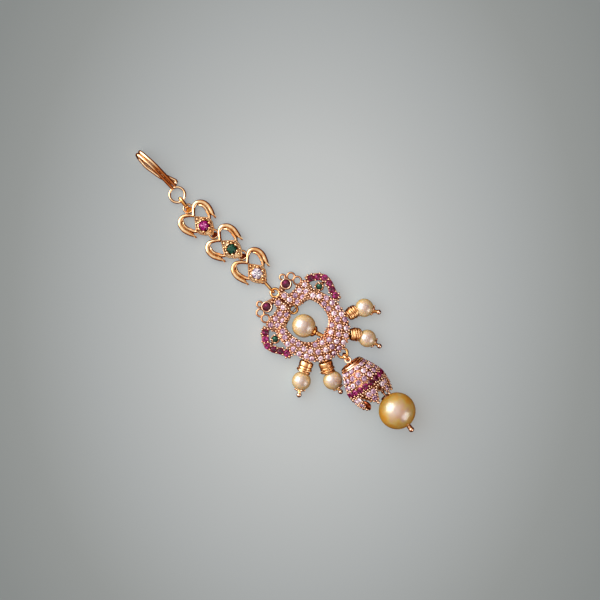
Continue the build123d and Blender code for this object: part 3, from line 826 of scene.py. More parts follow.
class Paving:
    """Stones set side by side in a metal surface, held by grains raised between them."""

    # how far a ray goes, and how far a stone's girdle stands out of the surface
    REACH = 40.0
    PROUD = 0.08
    # the surface's direction is averaged over this distance, and not across its edges
    SOFT = 0.35
    SAME_SURFACE = -0.3
    # a grain may be this far from a stone's own level, and leans no more than this from it
    LEVEL = 0.7
    LEAN = 0.5
    DIRECTIONS = 24
    # a stone's lean in radians, and how its painted reflection tones differ as a whole and facet by facet
    STONE_LEAN = 0.1
    TONE_SHIFT = (-0.35, 0.15)
    FACET_SHIFT = 0.2

    def __init__(self, metal: Object, seed: int) -> None:
        """Take the surface of the metal that carries the paving.

        Args:
            metal: A CAD node or a finished piece.
            seed: Fixes the stones' turns and tones.
        """
        surface = bmesh.new()
        surface.from_mesh(metal.data)
        bmesh.ops.transform(surface, matrix=Matrix.Scale(1 / MM, 4), verts=surface.verts)
        self.tree = BVHTree.FromBMesh(surface)
        surface.free()
        self.stones: dict[StoneFinish, list[SetStone]] = {}
        self.chance = random.Random(seed)

    def hit(self, start: Vector, way: Vector) -> tuple[Vector, Vector] | None:
        """The place where a ray meets the surface and the surface's direction there, or None."""
        at, normal, _, _ = self.tree.ray_cast(start, way.normalized(), self.REACH)
        return (at, normal) if at is not None else None

    def set_stone(self, kind: StoneFinish, start: Vector, way: Vector, radius: float) -> None:
        """Set a stone where a ray meets the surface.

        Args:
            kind: The stone's finish.
            start: The ray's start.
            way: The ray's direction, into the metal.
            radius: The stone's radius.
        """
        found = self.hit(start, way)
        if found is None:
            return
        at, out = found
        side = frame_on(at, way * -1).to_3x3()
        for angle in (radians(quarter * 90) for quarter in range(4)):
            near = self.hit(start + side @ around(angle, self.SOFT), way)
            if (near is not None and (near[0] - at).length < 2.5 * self.SOFT
                    and near[1].dot(way) < self.SAME_SURFACE):
                out = out + near[1]
        out.normalize()
        self.stones.setdefault(kind, []).append(SetStone(at + out * self.PROUD, out, radius))

    def fill(self, name: str, kind: StoneFinish, dull: float = 0.0) -> None:
        """Make one piece of every stone of a kind.

        Args:
            name: What carries the paving.
            kind: The stones' finish.
            dull: How much darker their painted tones are, from 0 to 1.
        """
        piece = Workpiece(f"{name}_{kind.slot.name.lower()}_paving")
        radii = {stone.radius for stone in self.stones[kind]}
        templates = {radius: mesh_of(StoneCut().cut(radius)) for radius in radii}
        for stone in self.stones[kind]:
            lean = Matrix.Rotation(self.chance.uniform(-self.STONE_LEAN, self.STONE_LEAN), 4, "X")
            turn = Matrix.Rotation(self.chance.uniform(0, 6.3), 4, "Z")
            faces = len(piece.mesh.faces)
            piece.add(templates[stone.radius], frame_on(stone.at, stone.out) @ turn @ lean)
            tone = piece.mesh.faces.layers.float[StoneCut.PAINTED_TONE]
            piece.mesh.faces.ensure_lookup_table()
            lift = self.chance.uniform(*self.TONE_SHIFT) - dull
            for face in piece.mesh.faces[faces:]:
                shifted = face[tone] + lift + self.chance.uniform(-self.FACET_SHIFT, self.FACET_SHIFT)
                face[tone] = min(1.0, max(0.0, shifted))
        bpy.data.batch_remove(list(templates.values()))
        piece.finish(kind)

    def grain_places(self, grain: float, spacing: float, lowest: float, reaches: tuple[float, ...]) -> Spots:
        """Places for the grains, first where three stones meet and then in the wider gaps.

        Args:
            grain: A grain's radius.
            spacing: The least distance between two grains.
            lowest: No grain goes below this height.
            reaches: Distances from a stone's edge at which room is looked for, in grain radii.

        Returns:
            Each grain's place and its direction out of the metal.
        """
        every = [stone for stones in self.stones.values() for stone in stones]
        found: list[tuple[float, Vector, Vector]] = []
        for stone in every:
            place = frame_on(stone.at, stone.out)
            for number in range(self.DIRECTIONS * len(reaches)):
                angle = number // len(reaches) * 2 * pi / self.DIRECTIONS
                reach = stone.radius + reaches[number % len(reaches)] * grain
                at, normal, _, away = self.tree.find_nearest(place @ around(angle, reach, -self.PROUD))
                if at is None or away > self.LEVEL or normal.dot(stone.out) < self.LEAN or at.z < lowest:
                    continue
                room = sorted((at - other.at).length - other.radius for other in every)
                if room[0] >= 0.4 * grain:
                    found.append((sum(room[:3]), at, normal))
        chosen: Spots = []
        for _, at, normal in sorted(found, key=lambda spot: spot[0]):
            if all((at - other).length > spacing for other, _ in chosen):
                chosen.append((at, normal))
        return chosen


# --- sub-assemblies ----------------------------------------------------------------------------------


@dataclass
class HeartLink:
    """An openwork heart: two lobes of wire with a second strand inside, a leaf with a set stone,
    and its eyes."""

    number: int
    at: tuple[float, float]
    turn: float
    stone_radius: float
    stone: StoneFinish
    # painted reflection tones of the stone's table and crown facets
    table_painted_tones: tuple[float, ...]
    crown_painted_tones: tuple[float, ...]
    # the finish of the eye's pool and the groove strands: solder on the first heart, painted shade on the
    # others
    solder_and_shade: GoldFinish = SHADE_GOLD
    outer: Outline = (
        (0, 4.25), (1.3, 5.55), (2.65, 5.95), (4.15, 5.2), (4.9, 3.3), (4.5, 1.2), (3.35, -0.95))
    inner: Outline = ((3.3, 0.95), (3.75, 3.1), (3.2, 4.45), (2.3, 4.85), (1.1, 4.2), (0, 2.95))
    # the strand inside each lobe: place and radius, from the lobe's top to the leaf's corner
    inside: Line = (
        (2.75, 4.75, 1.35, 0.2), (3.25, 4.0, 1.5, 0.34), (3.4, 3.0, 1.55, 0.38), (3.15, 1.9, 1.55, 0.4),
        (2.8, 0.95, 1.6, 0.42), (2.2, 0.25, 1.75, 0.4))
    # strands at the foot of the groove between the two, in the heart's pool finish: painted shade but on the
    # first heart
    groove: Line = ((3.1, 4.5, 1.1, 0.2), (3.7, 3.1, 1.1, 0.26), (3.4, 1.6, 1.1, 0.3), (3.15, 0.6, 1.1, 0.3))
    leaf: Outline = ((0, 3.5), (2.45, 0.35), (2.2, -0.8), (1.3, -2.2), (0, -3.3), (-1.3, -2.2), (-2.2, -0.8),
                     (-2.45, 0.35))
    rim: Line = (
        (0.0, 3.3, 2.3, 0.2), (2.3, 0.35, 2.3, 0.2), (2.1, -0.8, 2.3, 0.18), (1.3, -2.05, 2.25, 0.18),
        (0.0, -3.05, 2.2, 0.18), (-1.3, -2.05, 2.25, 0.18), (-2.1, -0.8, 2.3, 0.18), (-2.3, 0.35, 2.3, 0.2))
    # lumps of metal in the leaf's corners: place and radius
    lumps: tuple[Point, ...] = (
        (0.0, 2.35, 0.4), (0.9, 1.75, 0.36), (-0.9, 1.75, 0.38), (1.75, 0.75, 0.3), (-1.75, 0.75, 0.32),
        (0.15, -2.15, 0.4), (1.25, -1.6, 0.26), (-1.3, -1.55, 0.26))
    lobe_heights: tuple[float, float] = (0.9, 2.1)
    lobe_edge: float = 0.46
    leaf_heights: tuple[float, float] = (1.5, 2.1)
    leaf_edge: float = 0.16
    eye_at: Point = (0.3, 5.95, 0.9)
    eye_radius: float = 1.1
    eye_wire: float = 0.5
    # the pool in the eye, solder in the first heart and a dark disc of painted shade in the others' holes:
    # its outline, and its middle from the eye's
    pool: Outline = ((0.0, 0.62), (0.72, 0.66), (0.8, 0.9), (0.6, 1.1), (0.0, 1.2))
    pool_from_eye: Point = (-0.08, -0.42, -0.9)
    staple_radius: float = 0.65
    staple_wire: float = 0.45
    last_eye_at: Point = (0.0, -2.25, 0.9)
    last_eye_radius: float = 0.75
    cup_height: float = 2.5
    cup_radius: float = 1.62
    cup_foot: float = 1.1
    # room round the stone in its seat
    ease: float = 0.08
    prongs: int = 6
    first_prong: float = -14.0
    prong_radius: float = 0.4
    prong_from_stone: float = 0.26
    # how far prongs and lumps stand out of the metal, and how far the stone sinks into its cup
    proud: float = 0.05
    sink: float = 0.02
    # a prong's place differs by as many degrees as this, and its size within these shares
    prong_wander: float = 6.0
    prong_sizes: tuple[float, float] = (0.88, 1.08)

    def place(self) -> Matrix:
        """Where the heart lies."""
        at = MIDDLE + Vector((*self.at, 0.0))
        return Matrix.Translation(at) @ Matrix.Rotation(radians(self.turn), 4, "Z")

    def build(self, below: "HeartLink | None") -> None:
        """Make the heart, the pool in its eye with the strands in its grooves, and its stone.

        Args:
            below: The next heart towards the medallion, which hangs on this one.
        """
        place = self.place()
        piece = Workpiece(f"heart_openwork_{self.number}")
        half = (*self.outer, *self.inner)
        left = tuple((-x, y) for x, y in reversed(half[1:-1]))
        tip, notch = len(self.outer) - 1, len(half) - 1
        corners = {0, tip, notch, notch + (notch - tip)}
        piece.add(rounded_plate((*half, *left), corners, self.lobe_heights, self.lobe_edge), place)
        piece.add(rounded_plate(self.leaf, range(len(self.leaf)), self.leaf_heights, self.leaf_edge), place)
        self._both_sides(piece, self.inside)
        piece.add(strand(self.rim, True, range(len(self.rim))), place)
        for x, y, radius in self.lumps:
            piece.add(ball((x, y, self.leaf_heights[1] + self.proud), radius), place)
        seat, top = self.stone_radius + self.ease, self.cup_height
        piece.add(turned_shape((
            (0.0, 0.0), (self.cup_foot, 0.0), (self.cup_radius - 0.1, top - 0.25),
            (self.cup_radius - 0.04, top - 0.15), (self.cup_radius - 0.16, top - 0.08),
            (seat + 0.1, top - 0.14), (seat, top - 0.3), (seat * 0.6, top - 0.7), (0.0, top - 0.9))), place)
        piece.add(wire_ring(self.eye_radius, self.eye_wire), place @ Matrix.Translation(self.eye_at))
        if below is not None:
            hung = below.place() @ Vector(below.eye_at)
            way = (place @ Vector((0, 0, self.eye_at[2])) - hung).normalized()
            piece.add(wire_ring(self.staple_radius, self.staple_wire, 28),
                      frame_on(hung + way * self.eye_radius, way.cross(UP)))
        else:
            piece.add(wire_ring(self.last_eye_radius, self.staple_wire, 32),
                      place @ Matrix.Translation(self.last_eye_at))
        self._prongs(piece)
        piece.finish(HEART_GOLD, f"heart_{self.number}")
        # the eye's pool and the groove strands: painted shade, but for the first heart, whose pool is solder
        web = Workpiece(f"heart_eye_solder_{self.number}")
        pool_at = Vector(self.eye_at) + Vector(self.pool_from_eye)
        web.add(turned_shape(self.pool, 20), place @ Matrix.Translation(pool_at))
        self._both_sides(web, self.groove)
        web.finish(self.solder_and_shade)
        gem = Workpiece(f"heart_gem_{self.number}")
        cut = StoneCut(sides=12, table_painted_tones=self.table_painted_tones, crown_painted_tones=self.crown_painted_tones)
        gem.add(cut.cut(self.stone_radius), place @ Matrix.Translation((0, 0, self.cup_height - self.sink)))
        gem.finish(self.stone, f"heart_stone_{self.number}")

    def _both_sides(self, piece: Workpiece, line: Line) -> None:
        """Add a strand to each lobe of a piece, from the right strand's places and radii."""
        for side in (1, -1):
            piece.add(strand(tuple((side * x, y, z, radius) for x, y, z, radius in line)), self.place())

    def _prongs(self, piece: Workpiece) -> None:
        """Round prong heads that hold the stone.

        Args:
            piece: The heart.
        """
        chance = random.Random(self.number)
        reach = self.stone_radius + self.prong_from_stone
        for number in range(self.prongs):
            wander = chance.uniform(-self.prong_wander, self.prong_wander)
            angle = radians(self.first_prong + 360 / self.prongs * number + wander)
            size = self.prong_radius * chance.uniform(*self.prong_sizes)
            piece.add(ball(around(angle, reach, self.cup_height + self.proud), size), self.place())


@dataclass
class JumpRing:
    """An oval jump ring that stands on edge between two eyes."""

    node: str
    middle: Point
    way: tuple[float, float]
    length: float
    width: float
    wire: float = 0.78
    # from the oval's outside to the middle of its wire, and how far its corners are cut
    inset: float = 0.22
    corner: float = 0.7

    def build(self) -> None:
        """Bend the ring."""
        high, far = self.width / 2 - self.inset, self.length / 2 - self.inset
        flat, cut = far - high, high * self.corner
        along = Vector((*self.way, 0.0)).normalized()
        points = [(flat, high), (flat + cut, cut), (far, 0.0), (flat + cut, -cut), (flat, -high)]
        points += [(-a, b) for a, b in reversed(points)]
        places = (Vector(self.middle) + along * a + UP * b for a, b in points)
        piece = Workpiece(f"{self.node}_wire")
        piece.add(strand(tuple((*place, self.wire / 2) for place in places), closed=True))
        piece.finish(WIRE_GOLD, self.node)


@dataclass
class Medallion:
    """Two peacocks back to back over a paved crescent: their stones and grains."""

    stone_radius: float = 0.7
    ruby_radius: float = 0.84
    grain: float = 0.29
    grain_spacing: float = 0.62
    grain_reaches: tuple[float, ...] = (0.7, 1.15, 2.8)
    grain_proud: float = 0.2
    # stones of the right half; the left half mirrors them
    body: Outline = ((1.15, 8.5), (1.3, 6.8), (3.0, 6.4), (4.6, 6.4), (6.6, 6.3), (2.05, 4.9), (3.85, 4.65),
                     (5.5, 4.95))
    crescent: Outline = (
        (5.85, 3.0), (6.65, 1.65), (6.0, -0.45), (7.5, 0.0), (5.8, -2.1), (7.55, -1.9), (5.8, -3.9),
        (7.5, -3.8), (5.25, -5.5), (6.85, -5.5), (6.4, -7.0), (3.2, -5.4), (4.1, -7.1), (4.95, -8.6),
        (1.7, -6.35), (2.5, -8.2), (3.5, -9.75), (0.9, -8.9), (1.8, -10.4), (0.0, -7.2), (0.0, -10.5))
    tail: Outline = ((8.85, 6.2), (10.15, 5.1), (11.2, 3.6), (10.85, 1.8), (10.05, 0.25), (9.45, -1.35))
    # lines of beads: how far apart they are, and the line
    bead_lines: tuple[tuple[float, Outline], ...] = (
        (0.55, ((2.1, 3.95), (4.3, 3.35), (5.2, 1.0), (5.2, -0.9), (4.5, -3.1), (2.7, -4.95), (0.0, -5.6))),
        (0.6, ((1.7, 4.35), (3.3, 4.25), (4.9, 4.05))),
        (0.6, ((2.1, 3.8), (3.5, 3.7), (4.6, 3.45))))
    bead_spacing: float = 0.42
    head_at: tuple[float, float] = (3.75, 9.9)
    head_radius: float = 1.08
    head_high: float = 1.98
    bezel_high: float = 2.02
    bezel_wire: float = 0.28
    emerald_at: tuple[float, float] = (8.6, 3.1)
    emerald_radius: float = 0.78
    emerald_high: float = 1.88
    prong_high: float = 2.05
    prong_radius: float = 0.3
    prong_from_stone: float = 0.2
    # painted reflection tones of the single stones' table and crown facets
    single_painted_tones: tuple[float, ...] = (0.5, 0.75, 0.9, 0.75, 0.5, 0.3, 0.15, 0.1, 0.2, 0.35, 0.25, 0.35)
    single_crown_painted_tones: tuple[float, ...] = (0.3, 0.5, 0.2)
    hinge: tuple[float, float] = (11.0, 0.5)
    tilt: float = 5.0
    # the centre pearl's post: its foot, and its outline from the pearl's middle (radius, distance)
    post_foot: tuple[float, float] = (-0.35, -5.6)
    post: Outline = (
        (0.0, 2.75), (1.42, 2.55), (1.5, 2.66), (1.42, 3.05), (1.12, 3.35), (0.76, 3.52), (0.6, 3.75),
        (0.54, 4.0), (0.54, 5.1), (0.6, 5.45), (0.0, 5.5))
    # rings soldered on the middle line: place and radius
    rings: tuple[Point, ...] = ((0.25, 10.7, 1.05), (0.05, 4.5, 1.0), (-0.38, -11.98, 1.2))
    ring_high: float = 0.42
    ring_wire: float = 0.7
    # rays start at this height, above every stone
    above: float = 12.0

    def lifted(self, x: float, y: float, z: float) -> Vector:
        """A point of the flat medallion after it is tilted, in the jewel's frame.

        Args:
            x: To the right.
            y: Towards the hook.
            z: Height above the medallion's back.

        Returns:
            The point.
        """
        y0, z0 = self.hinge
        turn = Matrix.Rotation(radians(-self.tilt), 4, "X")
        return MIDDLE + Vector((0, y0, z0)) + turn @ Vector((x, y - y0, z))

    def seat(self, x: float, y: float, z: float) -> Matrix:
        """A place on the tilted medallion at height z above its back, with its z axis square to it."""
        at = self.lifted(x, y, z)
        return frame_on(at, at - self.lifted(x, y, 0.0))

    def ray(self, x: float, y: float) -> tuple[Vector, Vector]:
        """The start and direction of a ray straight down to a point of the flat medallion."""
        at = self.lifted(x, y, 0.0)
        return Vector((at.x, at.y, self.above)), UP * -1

    def build(self) -> None:
        """Set every stone, raise the grains and solder the rings."""
        paving = Paving(frame["nodes"]["medallion"], 7)
        for kind, chart, radius in ((WHITE_STONE, self.body, self.stone_radius),
                                    (WHITE_STONE, self.crescent, self.stone_radius),
                                    (RUBY_STONE, self.tail, self.ruby_radius)):
            for x, y in chart:
                for side in ((1,) if x == 0 else (1, -1)):
                    paving.set_stone(kind, *self.ray(side * x, y), radius)
        paving.fill("medallion", WHITE_STONE)
        paving.fill("medallion", RUBY_STONE)
        grains = Workpiece("medallion_grains")
        spots = paving.grain_places(self.grain, self.grain_spacing, 0.0, self.grain_reaches)
        spots += self._beads(paving, spots)
        grains.strew(spots, self.grain, self.grain_proud, paving.chance)
        for side in (1, -1):
            grains.add(wire_ring(self.head_radius + self.bezel_wire / 2, self.bezel_wire, 36, 10),
                       self.seat(side * self.head_at[0], self.head_at[1], self.bezel_high))
            for angle in (radians(45 + 90 * number) for number in range(4)):
                reach = self.emerald_radius + self.prong_from_stone
                at = self.lifted(side * self.emerald_at[0] + cos(angle) * reach,
                                 self.emerald_at[1] + sin(angle) * reach, self.prong_high)
                grains.add(ball(at, self.prong_radius, 12))
        grains.finish(GRAIN_GOLD)
        rings = Workpiece("medallion_ring_sleeves")
        for x, y, radius in self.rings:
            rings.add(wire_ring(radius, self.ring_wire), self.seat(x, y, self.ring_high))
        low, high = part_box("centre_pearl")
        pearl = (low + high) / 2 / MM
        foot = MIDDLE + Vector((*self.post_foot, pearl.z))
        rings.add(turned_shape(self.post, 24), frame_on(pearl, foot - pearl))
        rings.finish(WIRE_GOLD)
        for side, name in ((1, "right"), (-1, "left")):
            for (x, y), radius, high, kind, finish in (
                    (self.head_at, self.head_radius, self.head_high, "head_ruby", RUBY_STONE),
                    (self.emerald_at, self.emerald_radius, self.emerald_high, "emerald", EMERALD_STONE)):
                piece = Workpiece(f"{kind}_gem_{name}")
                cut = StoneCut(12, 0.66, table_painted_tones=self.single_painted_tones, crown_painted_tones=self.single_crown_painted_tones)
                piece.add(cut.cut(radius), self.seat(side * x, y, high))
                piece.finish(finish, f"{kind}_{name}")

    def _beads(self, paving: Paving, taken: Spots) -> Spots:
        """Beads along the crescent's inner edge and over its bridge, where no grain is yet.

        Args:
            paving: The medallion's paving.
            taken: The grains so far.

        Returns:
            The beads' places.
        """
        found: Spots = []
        points = [point for step, line in self.bead_lines for point in smooth_line(line, step)]
        for side in (1, -1):
            for point in points:
                hit = paving.hit(*self.ray(side * point.x, point.y))
                if hit and all((hit[0] - other).length > self.bead_spacing for other, _ in taken + found):
                    found.append((hit[0], UP.copy()))
        return found


@dataclass(frozen=True)
class Turn:
    """One turn of a sleeve's winding: how far along it starts, its width and radius, and how many
    degrees it leans, towards which side."""

    start: float
    width: float
    radius: float = 1.62
    lean: float = 0.0
    lean_way: float = 0.0
    edge: float = 0.13


# a broad band with three loose turns of strip, and seven turns of wire that bulge in the middle
BANDED = (Turn(0.3, 1.35, 1.78, edge=0.3), Turn(1.68, 0.55, 1.72, 3.0, 40.0), Turn(2.28, 0.42, 1.9, 9.0),
          Turn(2.78, 0.36, 1.8, 4.0, 180.0))
WOUND = tuple(Turn(0.25 + 0.41 * n, 0.38, radius, lean, 60.0 * n) for n, (radius, lean) in enumerate(
    ((1.42, 3.0), (1.58, -3.0), (1.68, 5.0), (1.72, -5.0), (1.68, 6.0), (1.6, -7.0), (1.46, 4.0))))
# loose ends of the strip and the wire: how far along the sleeve, at what angle, how long
BANDED_ENDS = ((2.55, 95.0, 0.5), (2.3, 265.0, 0.45))
WOUND_ENDS = ((1.3, 262.0, 0.25), (1.9, 85.0, 0.3), (2.6, 95.0, 0.35))


@dataclass
class SideDrop:
    """A side drop: the wound sleeve before its pearl and the flower under the pearl."""

    number: int
    # its hole in the crescent's edge, its pin's bend, its pearl and its ball, as seen from above
    edge_at: tuple[float, float]
    bend_at: tuple[float, float]
    pearl_at: tuple[float, float]
    pearl_radius: float
    ball_at: tuple[float, float]
    turns: tuple[Turn, ...]
    ends: tuple[Point, ...]
    edge_high: float = 0.9
    # the pin runs down towards its ball by this much each side of the pearl
    sag: float = 0.25
    # the sleeve's lining: radii, and how far inside the winding it ends
    core: tuple[float, float] = (0.5, 1.25)
    core_inset: tuple[float, float] = (0.15, 0.25)
    # a turn is at least this thick, and its rounded edge has this many faces
    wall: float = 0.45
    edge_faces: int = 5
    # a loose end: radii at its root and tip, where its tip starts, its drift sideways and along
    end_radii: tuple[float, float] = (0.15, 0.1)
    end_from: float = 1.5
    end_drift: tuple[float, float] = (0.5, 0.12)
    flower_beads: int = 6
    flower_reach: float = 1.2
    flower_bead: float = 0.27
    flower_gap: float = 0.16
    flower_proud: float = 0.06
    ball_radius: float = 0.64
    ball_inset: float = 0.15

    def build(self, medallion: Medallion) -> None:
        """Wind the sleeve and bead the flower.

        Args:
            medallion: Gives the height of the crescent's edge.
        """
        edge = medallion.lifted(*self.edge_at, self.edge_high)
        bend = MIDDLE + Vector((*self.bend_at, self.pearl_radius + self.sag))
        place = frame_on(edge, (bend - edge).normalized(), UP)
        piece = Workpiece(f"wound_sleeve_{self.number}")
        for turn in self.turns:
            self._wind(piece, place, turn)
        thin, thick = self.core
        first = self.turns[0].start + self.core_inset[0]
        last = max(turn.start + turn.width for turn in self.turns) - self.core_inset[1]
        core = ((thin, first), (thick, first), (thick, last), (thin, last), (thin, first))
        piece.add(turned_shape(core), place)
        for along, angle, length in self.ends:
            out = around(radians(angle), 1.0)
            root = out * thick + Vector((0, 0, along))
            drift = Vector((-out.y, out.x, 0.0)) * length * self.end_drift[0]
            tip = out * (self.end_from + length) + drift + Vector((0, 0, along + self.end_drift[1]))
            piece.add(self._wire_end(place @ root, place @ tip))
        piece.finish(AMBER_GOLD, f"sleeve_{self.number}")
        flower = Workpiece(f"drop_flower_{self.number}")
        pearl = MIDDLE + Vector((*self.pearl_at, self.pearl_radius))
        ball_at = MIDDLE + Vector((*self.ball_at, self.pearl_radius - self.sag))
        out = (ball_at - pearl).normalized()
        cap, reach = frame_on(pearl, out), self.flower_reach
        height = sqrt((self.pearl_radius + self.flower_gap) ** 2 - reach ** 2)
        angles = (2 * pi * (n + 0.3) / self.flower_beads for n in range(self.flower_beads))
        spots = [(cap @ around(angle, reach, height), out) for angle in angles]
        flower.strew(spots, self.flower_bead, self.flower_proud, random.Random(self.number))
        flower.add(ball(ball_at - out * self.ball_inset, self.ball_radius))
        flower.finish(GRAIN_GOLD)

    def _wire_end(self, start: Vector, end: Vector) -> BMesh:
        """A round wire end, which tapers.

        Args:
            start: The middle of its root.
            end: The middle of its tip.

        Returns:
            The wire end.
        """
        shape = bmesh.new()
        way = end - start
        bmesh.ops.create_cone(shape, cap_ends=True, segments=8, radius1=self.end_radii[0],
                              radius2=self.end_radii[1], depth=way.length,
                              matrix=frame_on((start + end) / 2, way))
        return shape

    def _wind(self, piece: Workpiece, place: Matrix, turn: Turn) -> None:
        """Add one turn: a rounded band or a round wire.

        Args:
            piece: The sleeve.
            place: The sleeve's frame.
            turn: The turn.
        """
        half = turn.width / 2
        edge = min(half, turn.edge)
        inner, outer, foot = turn.radius - max(edge * 1.6, self.wall), turn.radius - edge, half - 0.02
        steps = (pi / 2 * n / self.edge_faces for n in range(self.edge_faces + 1))
        arc = [(edge * sin(a), edge * cos(a)) for a in steps]
        profile = ((inner, -foot), *((outer + s, -half + edge - c) for s, c in arc),
                   *((outer + c, half - edge + s) for s, c in arc), (inner, foot), (inner, -foot))
        lean = Matrix.Rotation(radians(turn.lean_way), 4, "Z") @ Matrix.Rotation(
            radians(turn.lean), 4, "X")
        piece.add(turned_shape(profile, 40), place @ Matrix.Translation((0, 0, turn.start + half)) @ lean)


@dataclass
class Bell:
    """The bell cap: rows of stones round it, grains between them, smooth rims at the crown."""

    crown_at: tuple[float, float] = (-1.13, -15.12)
    heading: float = 13.0
    dip: float = 5.5
    # where it rests on the floor: radius and how far from the crown, and its clearance
    skirt: tuple[float, float] = (5.35, 8.3)
    lift: float = 0.01
    # rows: how far from the crown, how many stones, angle of the first, kind
    rows: tuple[tuple[float, int, float, StoneFinish], ...] = (
        (1.15, 12, 10.0, WHITE_STONE), (2.7, 14, -3.5, WHITE_STONE), (4.25, 16, 5.5, WHITE_STONE),
        (5.95, 19, -5.6, RUBY_STONE))
    # of each kind: a stone's radius, and how much darker it is than the medallion's
    kinds: tuple[tuple[StoneFinish, float, float], ...] = ((WHITE_STONE, 0.7, 0.07), (RUBY_STONE, 0.8, 0.08))
    petals: int = 7
    first_petal: float = -4.0
    # on each petal: how far from the crown, angles from the petal's middle
    petal_stones: tuple[tuple[float, tuple[float, ...]], ...] = ((8.1, (-7.6, 7.6)), (9.6, (0.0,)))
    tip_at: float = 11.1
    tip_grain: float = 0.4
    tip_proud: float = 0.02
    grain: float = 0.28
    grain_spacing: float = 0.58
    grain_reaches: tuple[float, ...] = (0.7, 1.15, 1.8, 2.6)
    grain_proud: float = 0.12
    # no grain is nearer to the floor or to the crown than this
    lowest_grain: float = 0.3
    lowest_tip: float = 0.8
    first_grain: float = 0.85
    # a stone's table, half a millimetre out of the metal, keeps this far off the floor
    table_high: float = 0.5
    clearance: float = 0.25
    # the crown's smooth rims: how far from the crown, radius of the middle, thickness
    rims: tuple[Point, ...] = ((0.15, 2.6, 0.78), (0.58, 2.98, 0.6))
    # the left petal's inner side: how far from the crown, angle, distance from the axis, radius
    curl: Line = ((8.9, -40.0, 4.7, 0.2), (9.6, -36.0, 4.7, 0.5), (10.4, -37.0, 4.6, 0.64),
                  (11.1, -42.0, 4.5, 0.5), (11.5, -46.0, 4.4, 0.2))
    # the CAD bell's outside: how far from the crown, radius
    profile: Outline = (
        (0.0, 2.7), (0.9, 3.42), (1.8, 3.98), (2.77, 4.37), (3.7, 4.83), (4.8, 5.22), (5.9, 5.45),
        (7.2, 5.47), (8.3, 5.35), (9.9, 5.04), (11.4, 4.6))
    # how far the metal is set back under the paving, from how far on, and how thick a skin moves
    set_back: float = 0.4
    set_back_from: float = 0.6
    skin: float = 0.25
    # rays start this far from the axis
    beyond: float = 9.0

    def frame(self) -> Matrix:
        """Place the bell.

        Returns:
            A frame with its origin at the crown, x to the right, y up and z to the mouth.
        """
        heading, dip = radians(self.heading), radians(self.dip)
        way = Vector((-sin(heading) * cos(dip), -cos(heading) * cos(dip), -sin(dip)))
        right = Vector((cos(heading), -sin(heading), 0.0))
        high = self.skirt[0] * cos(dip) + self.skirt[1] * sin(dip) + self.lift
        at = MIDDLE + Vector((*self.crown_at, high))
        return Matrix.Translation(at) @ Matrix((right, way.cross(right), way)).transposed().to_4x4()

    def ray(self, along: float, angle: float) -> tuple[Vector, Vector]:
        """A ray that meets the bell's outside square to its axis.

        Args:
            along: How far from the crown.
            angle: Degrees from straight up, towards the right.

        Returns:
            The ray's start and direction.
        """
        turned, place = radians(angle), self.frame()
        out = Vector((sin(turned), cos(turned), 0.0))
        return place @ (out * self.beyond + Vector((0, 0, along))), place.to_3x3() @ (out * -1)

    def build(self) -> None:
        """Set the stones, raise the grains, and add the crown's rims and the bent petal."""
        place = self.frame()
        back = place.inverted()
        paving = Paving(self._body(), 11)
        for along, count, first, kind in self.rows:
            for number in range(count):
                self._set(paving, kind, along, first + 360 / count * number)
        middles = [self.first_petal + 360 / self.petals * petal for petal in range(self.petals)]
        for middle in middles:
            for along, angles in self.petal_stones:
                for angle in angles:
                    self._set(paving, WHITE_STONE, along, middle + angle)
        for kind, _, dull in self.kinds:
            paving.fill("bell", kind, dull)
        grains = Workpiece("bell_grains")
        spots = paving.grain_places(self.grain, self.grain_spacing, self.lowest_grain, self.grain_reaches)
        spots = [(at, out) for at, out in spots if (back @ at).z > self.first_grain]
        grains.strew(spots, self.grain, self.grain_proud, paving.chance)
        tips = [hit for middle in middles if (hit := paving.hit(*self.ray(self.tip_at, middle)))]
        tips = [(at, out) for at, out in tips if at.z > self.lowest_tip]
        grains.strew(tips, self.tip_grain, self.tip_proud, paving.chance)
        for along, radius, wire in self.rims:
            grains.add(wire_ring(radius, wire), place @ Matrix.Translation((0, 0, along)))
        grains.finish(GRAIN_GOLD)
        curl = Workpiece("bell_petal_curl")
        turned = [(reach, radians(angle), along, radius) for along, angle, reach, radius in self.curl]
        curl.add(strand(tuple((*(place @ Vector((sin(a) * reach, cos(a) * reach, along))), radius)
                              for reach, a, along, radius in turned)))
        curl.finish(PETAL_GOLD)

    def _body(self) -> Object:
        """The bell's metal: the CAD shape with its outside set back by the paving's height.

        Returns:
            The body.
        """
        piece = Workpiece("bell_body", "bell")
        place = self.frame()
        back = place.inverted()
        for vert in piece.mesh.verts:
            local = back @ vert.co
            reach = hypot(local.x, local.y)
            if local.z > self.set_back_from and reach > self._outside(local.z) - self.skin:
                share = (reach - self.set_back) / reach
                vert.co = place @ Vector((local.x * share, local.y * share, local.z))
        # the bell's metal takes a darker gold, which is painted shade
        return piece.finish(SHADED_BELL_GOLD, "bell")

    def _outside(self, along: float) -> float:
        """The CAD bell's outer radius.

        Args:
            along: How far from the crown.

        Returns:
            The radius there.
        """
        for (s0, r0), (s1, r1) in zip(self.profile, self.profile[1:]):
            if along <= s1:
                return r0 + (r1 - r0) * (along - s0) / (s1 - s0)
        return self.profile[-1][1]

    def _set(self, paving: Paving, kind: StoneFinish, along: float, angle: float) -> None:
        """Set one stone, unless it would touch the floor.

        Args:
            paving: The bell's paving.
            kind: The stone's finish.
            along: How far from the crown.
            angle: Degrees from straight up.
        """
        start, way = self.ray(along, angle)
        hit = paving.hit(start, way)
        if hit is not None and hit[0].z - way.z * self.table_high > self.clearance:
            radius = next(radius for finish, radius, _ in self.kinds if finish is kind)
            paving.set_stone(kind, start, way, radius)


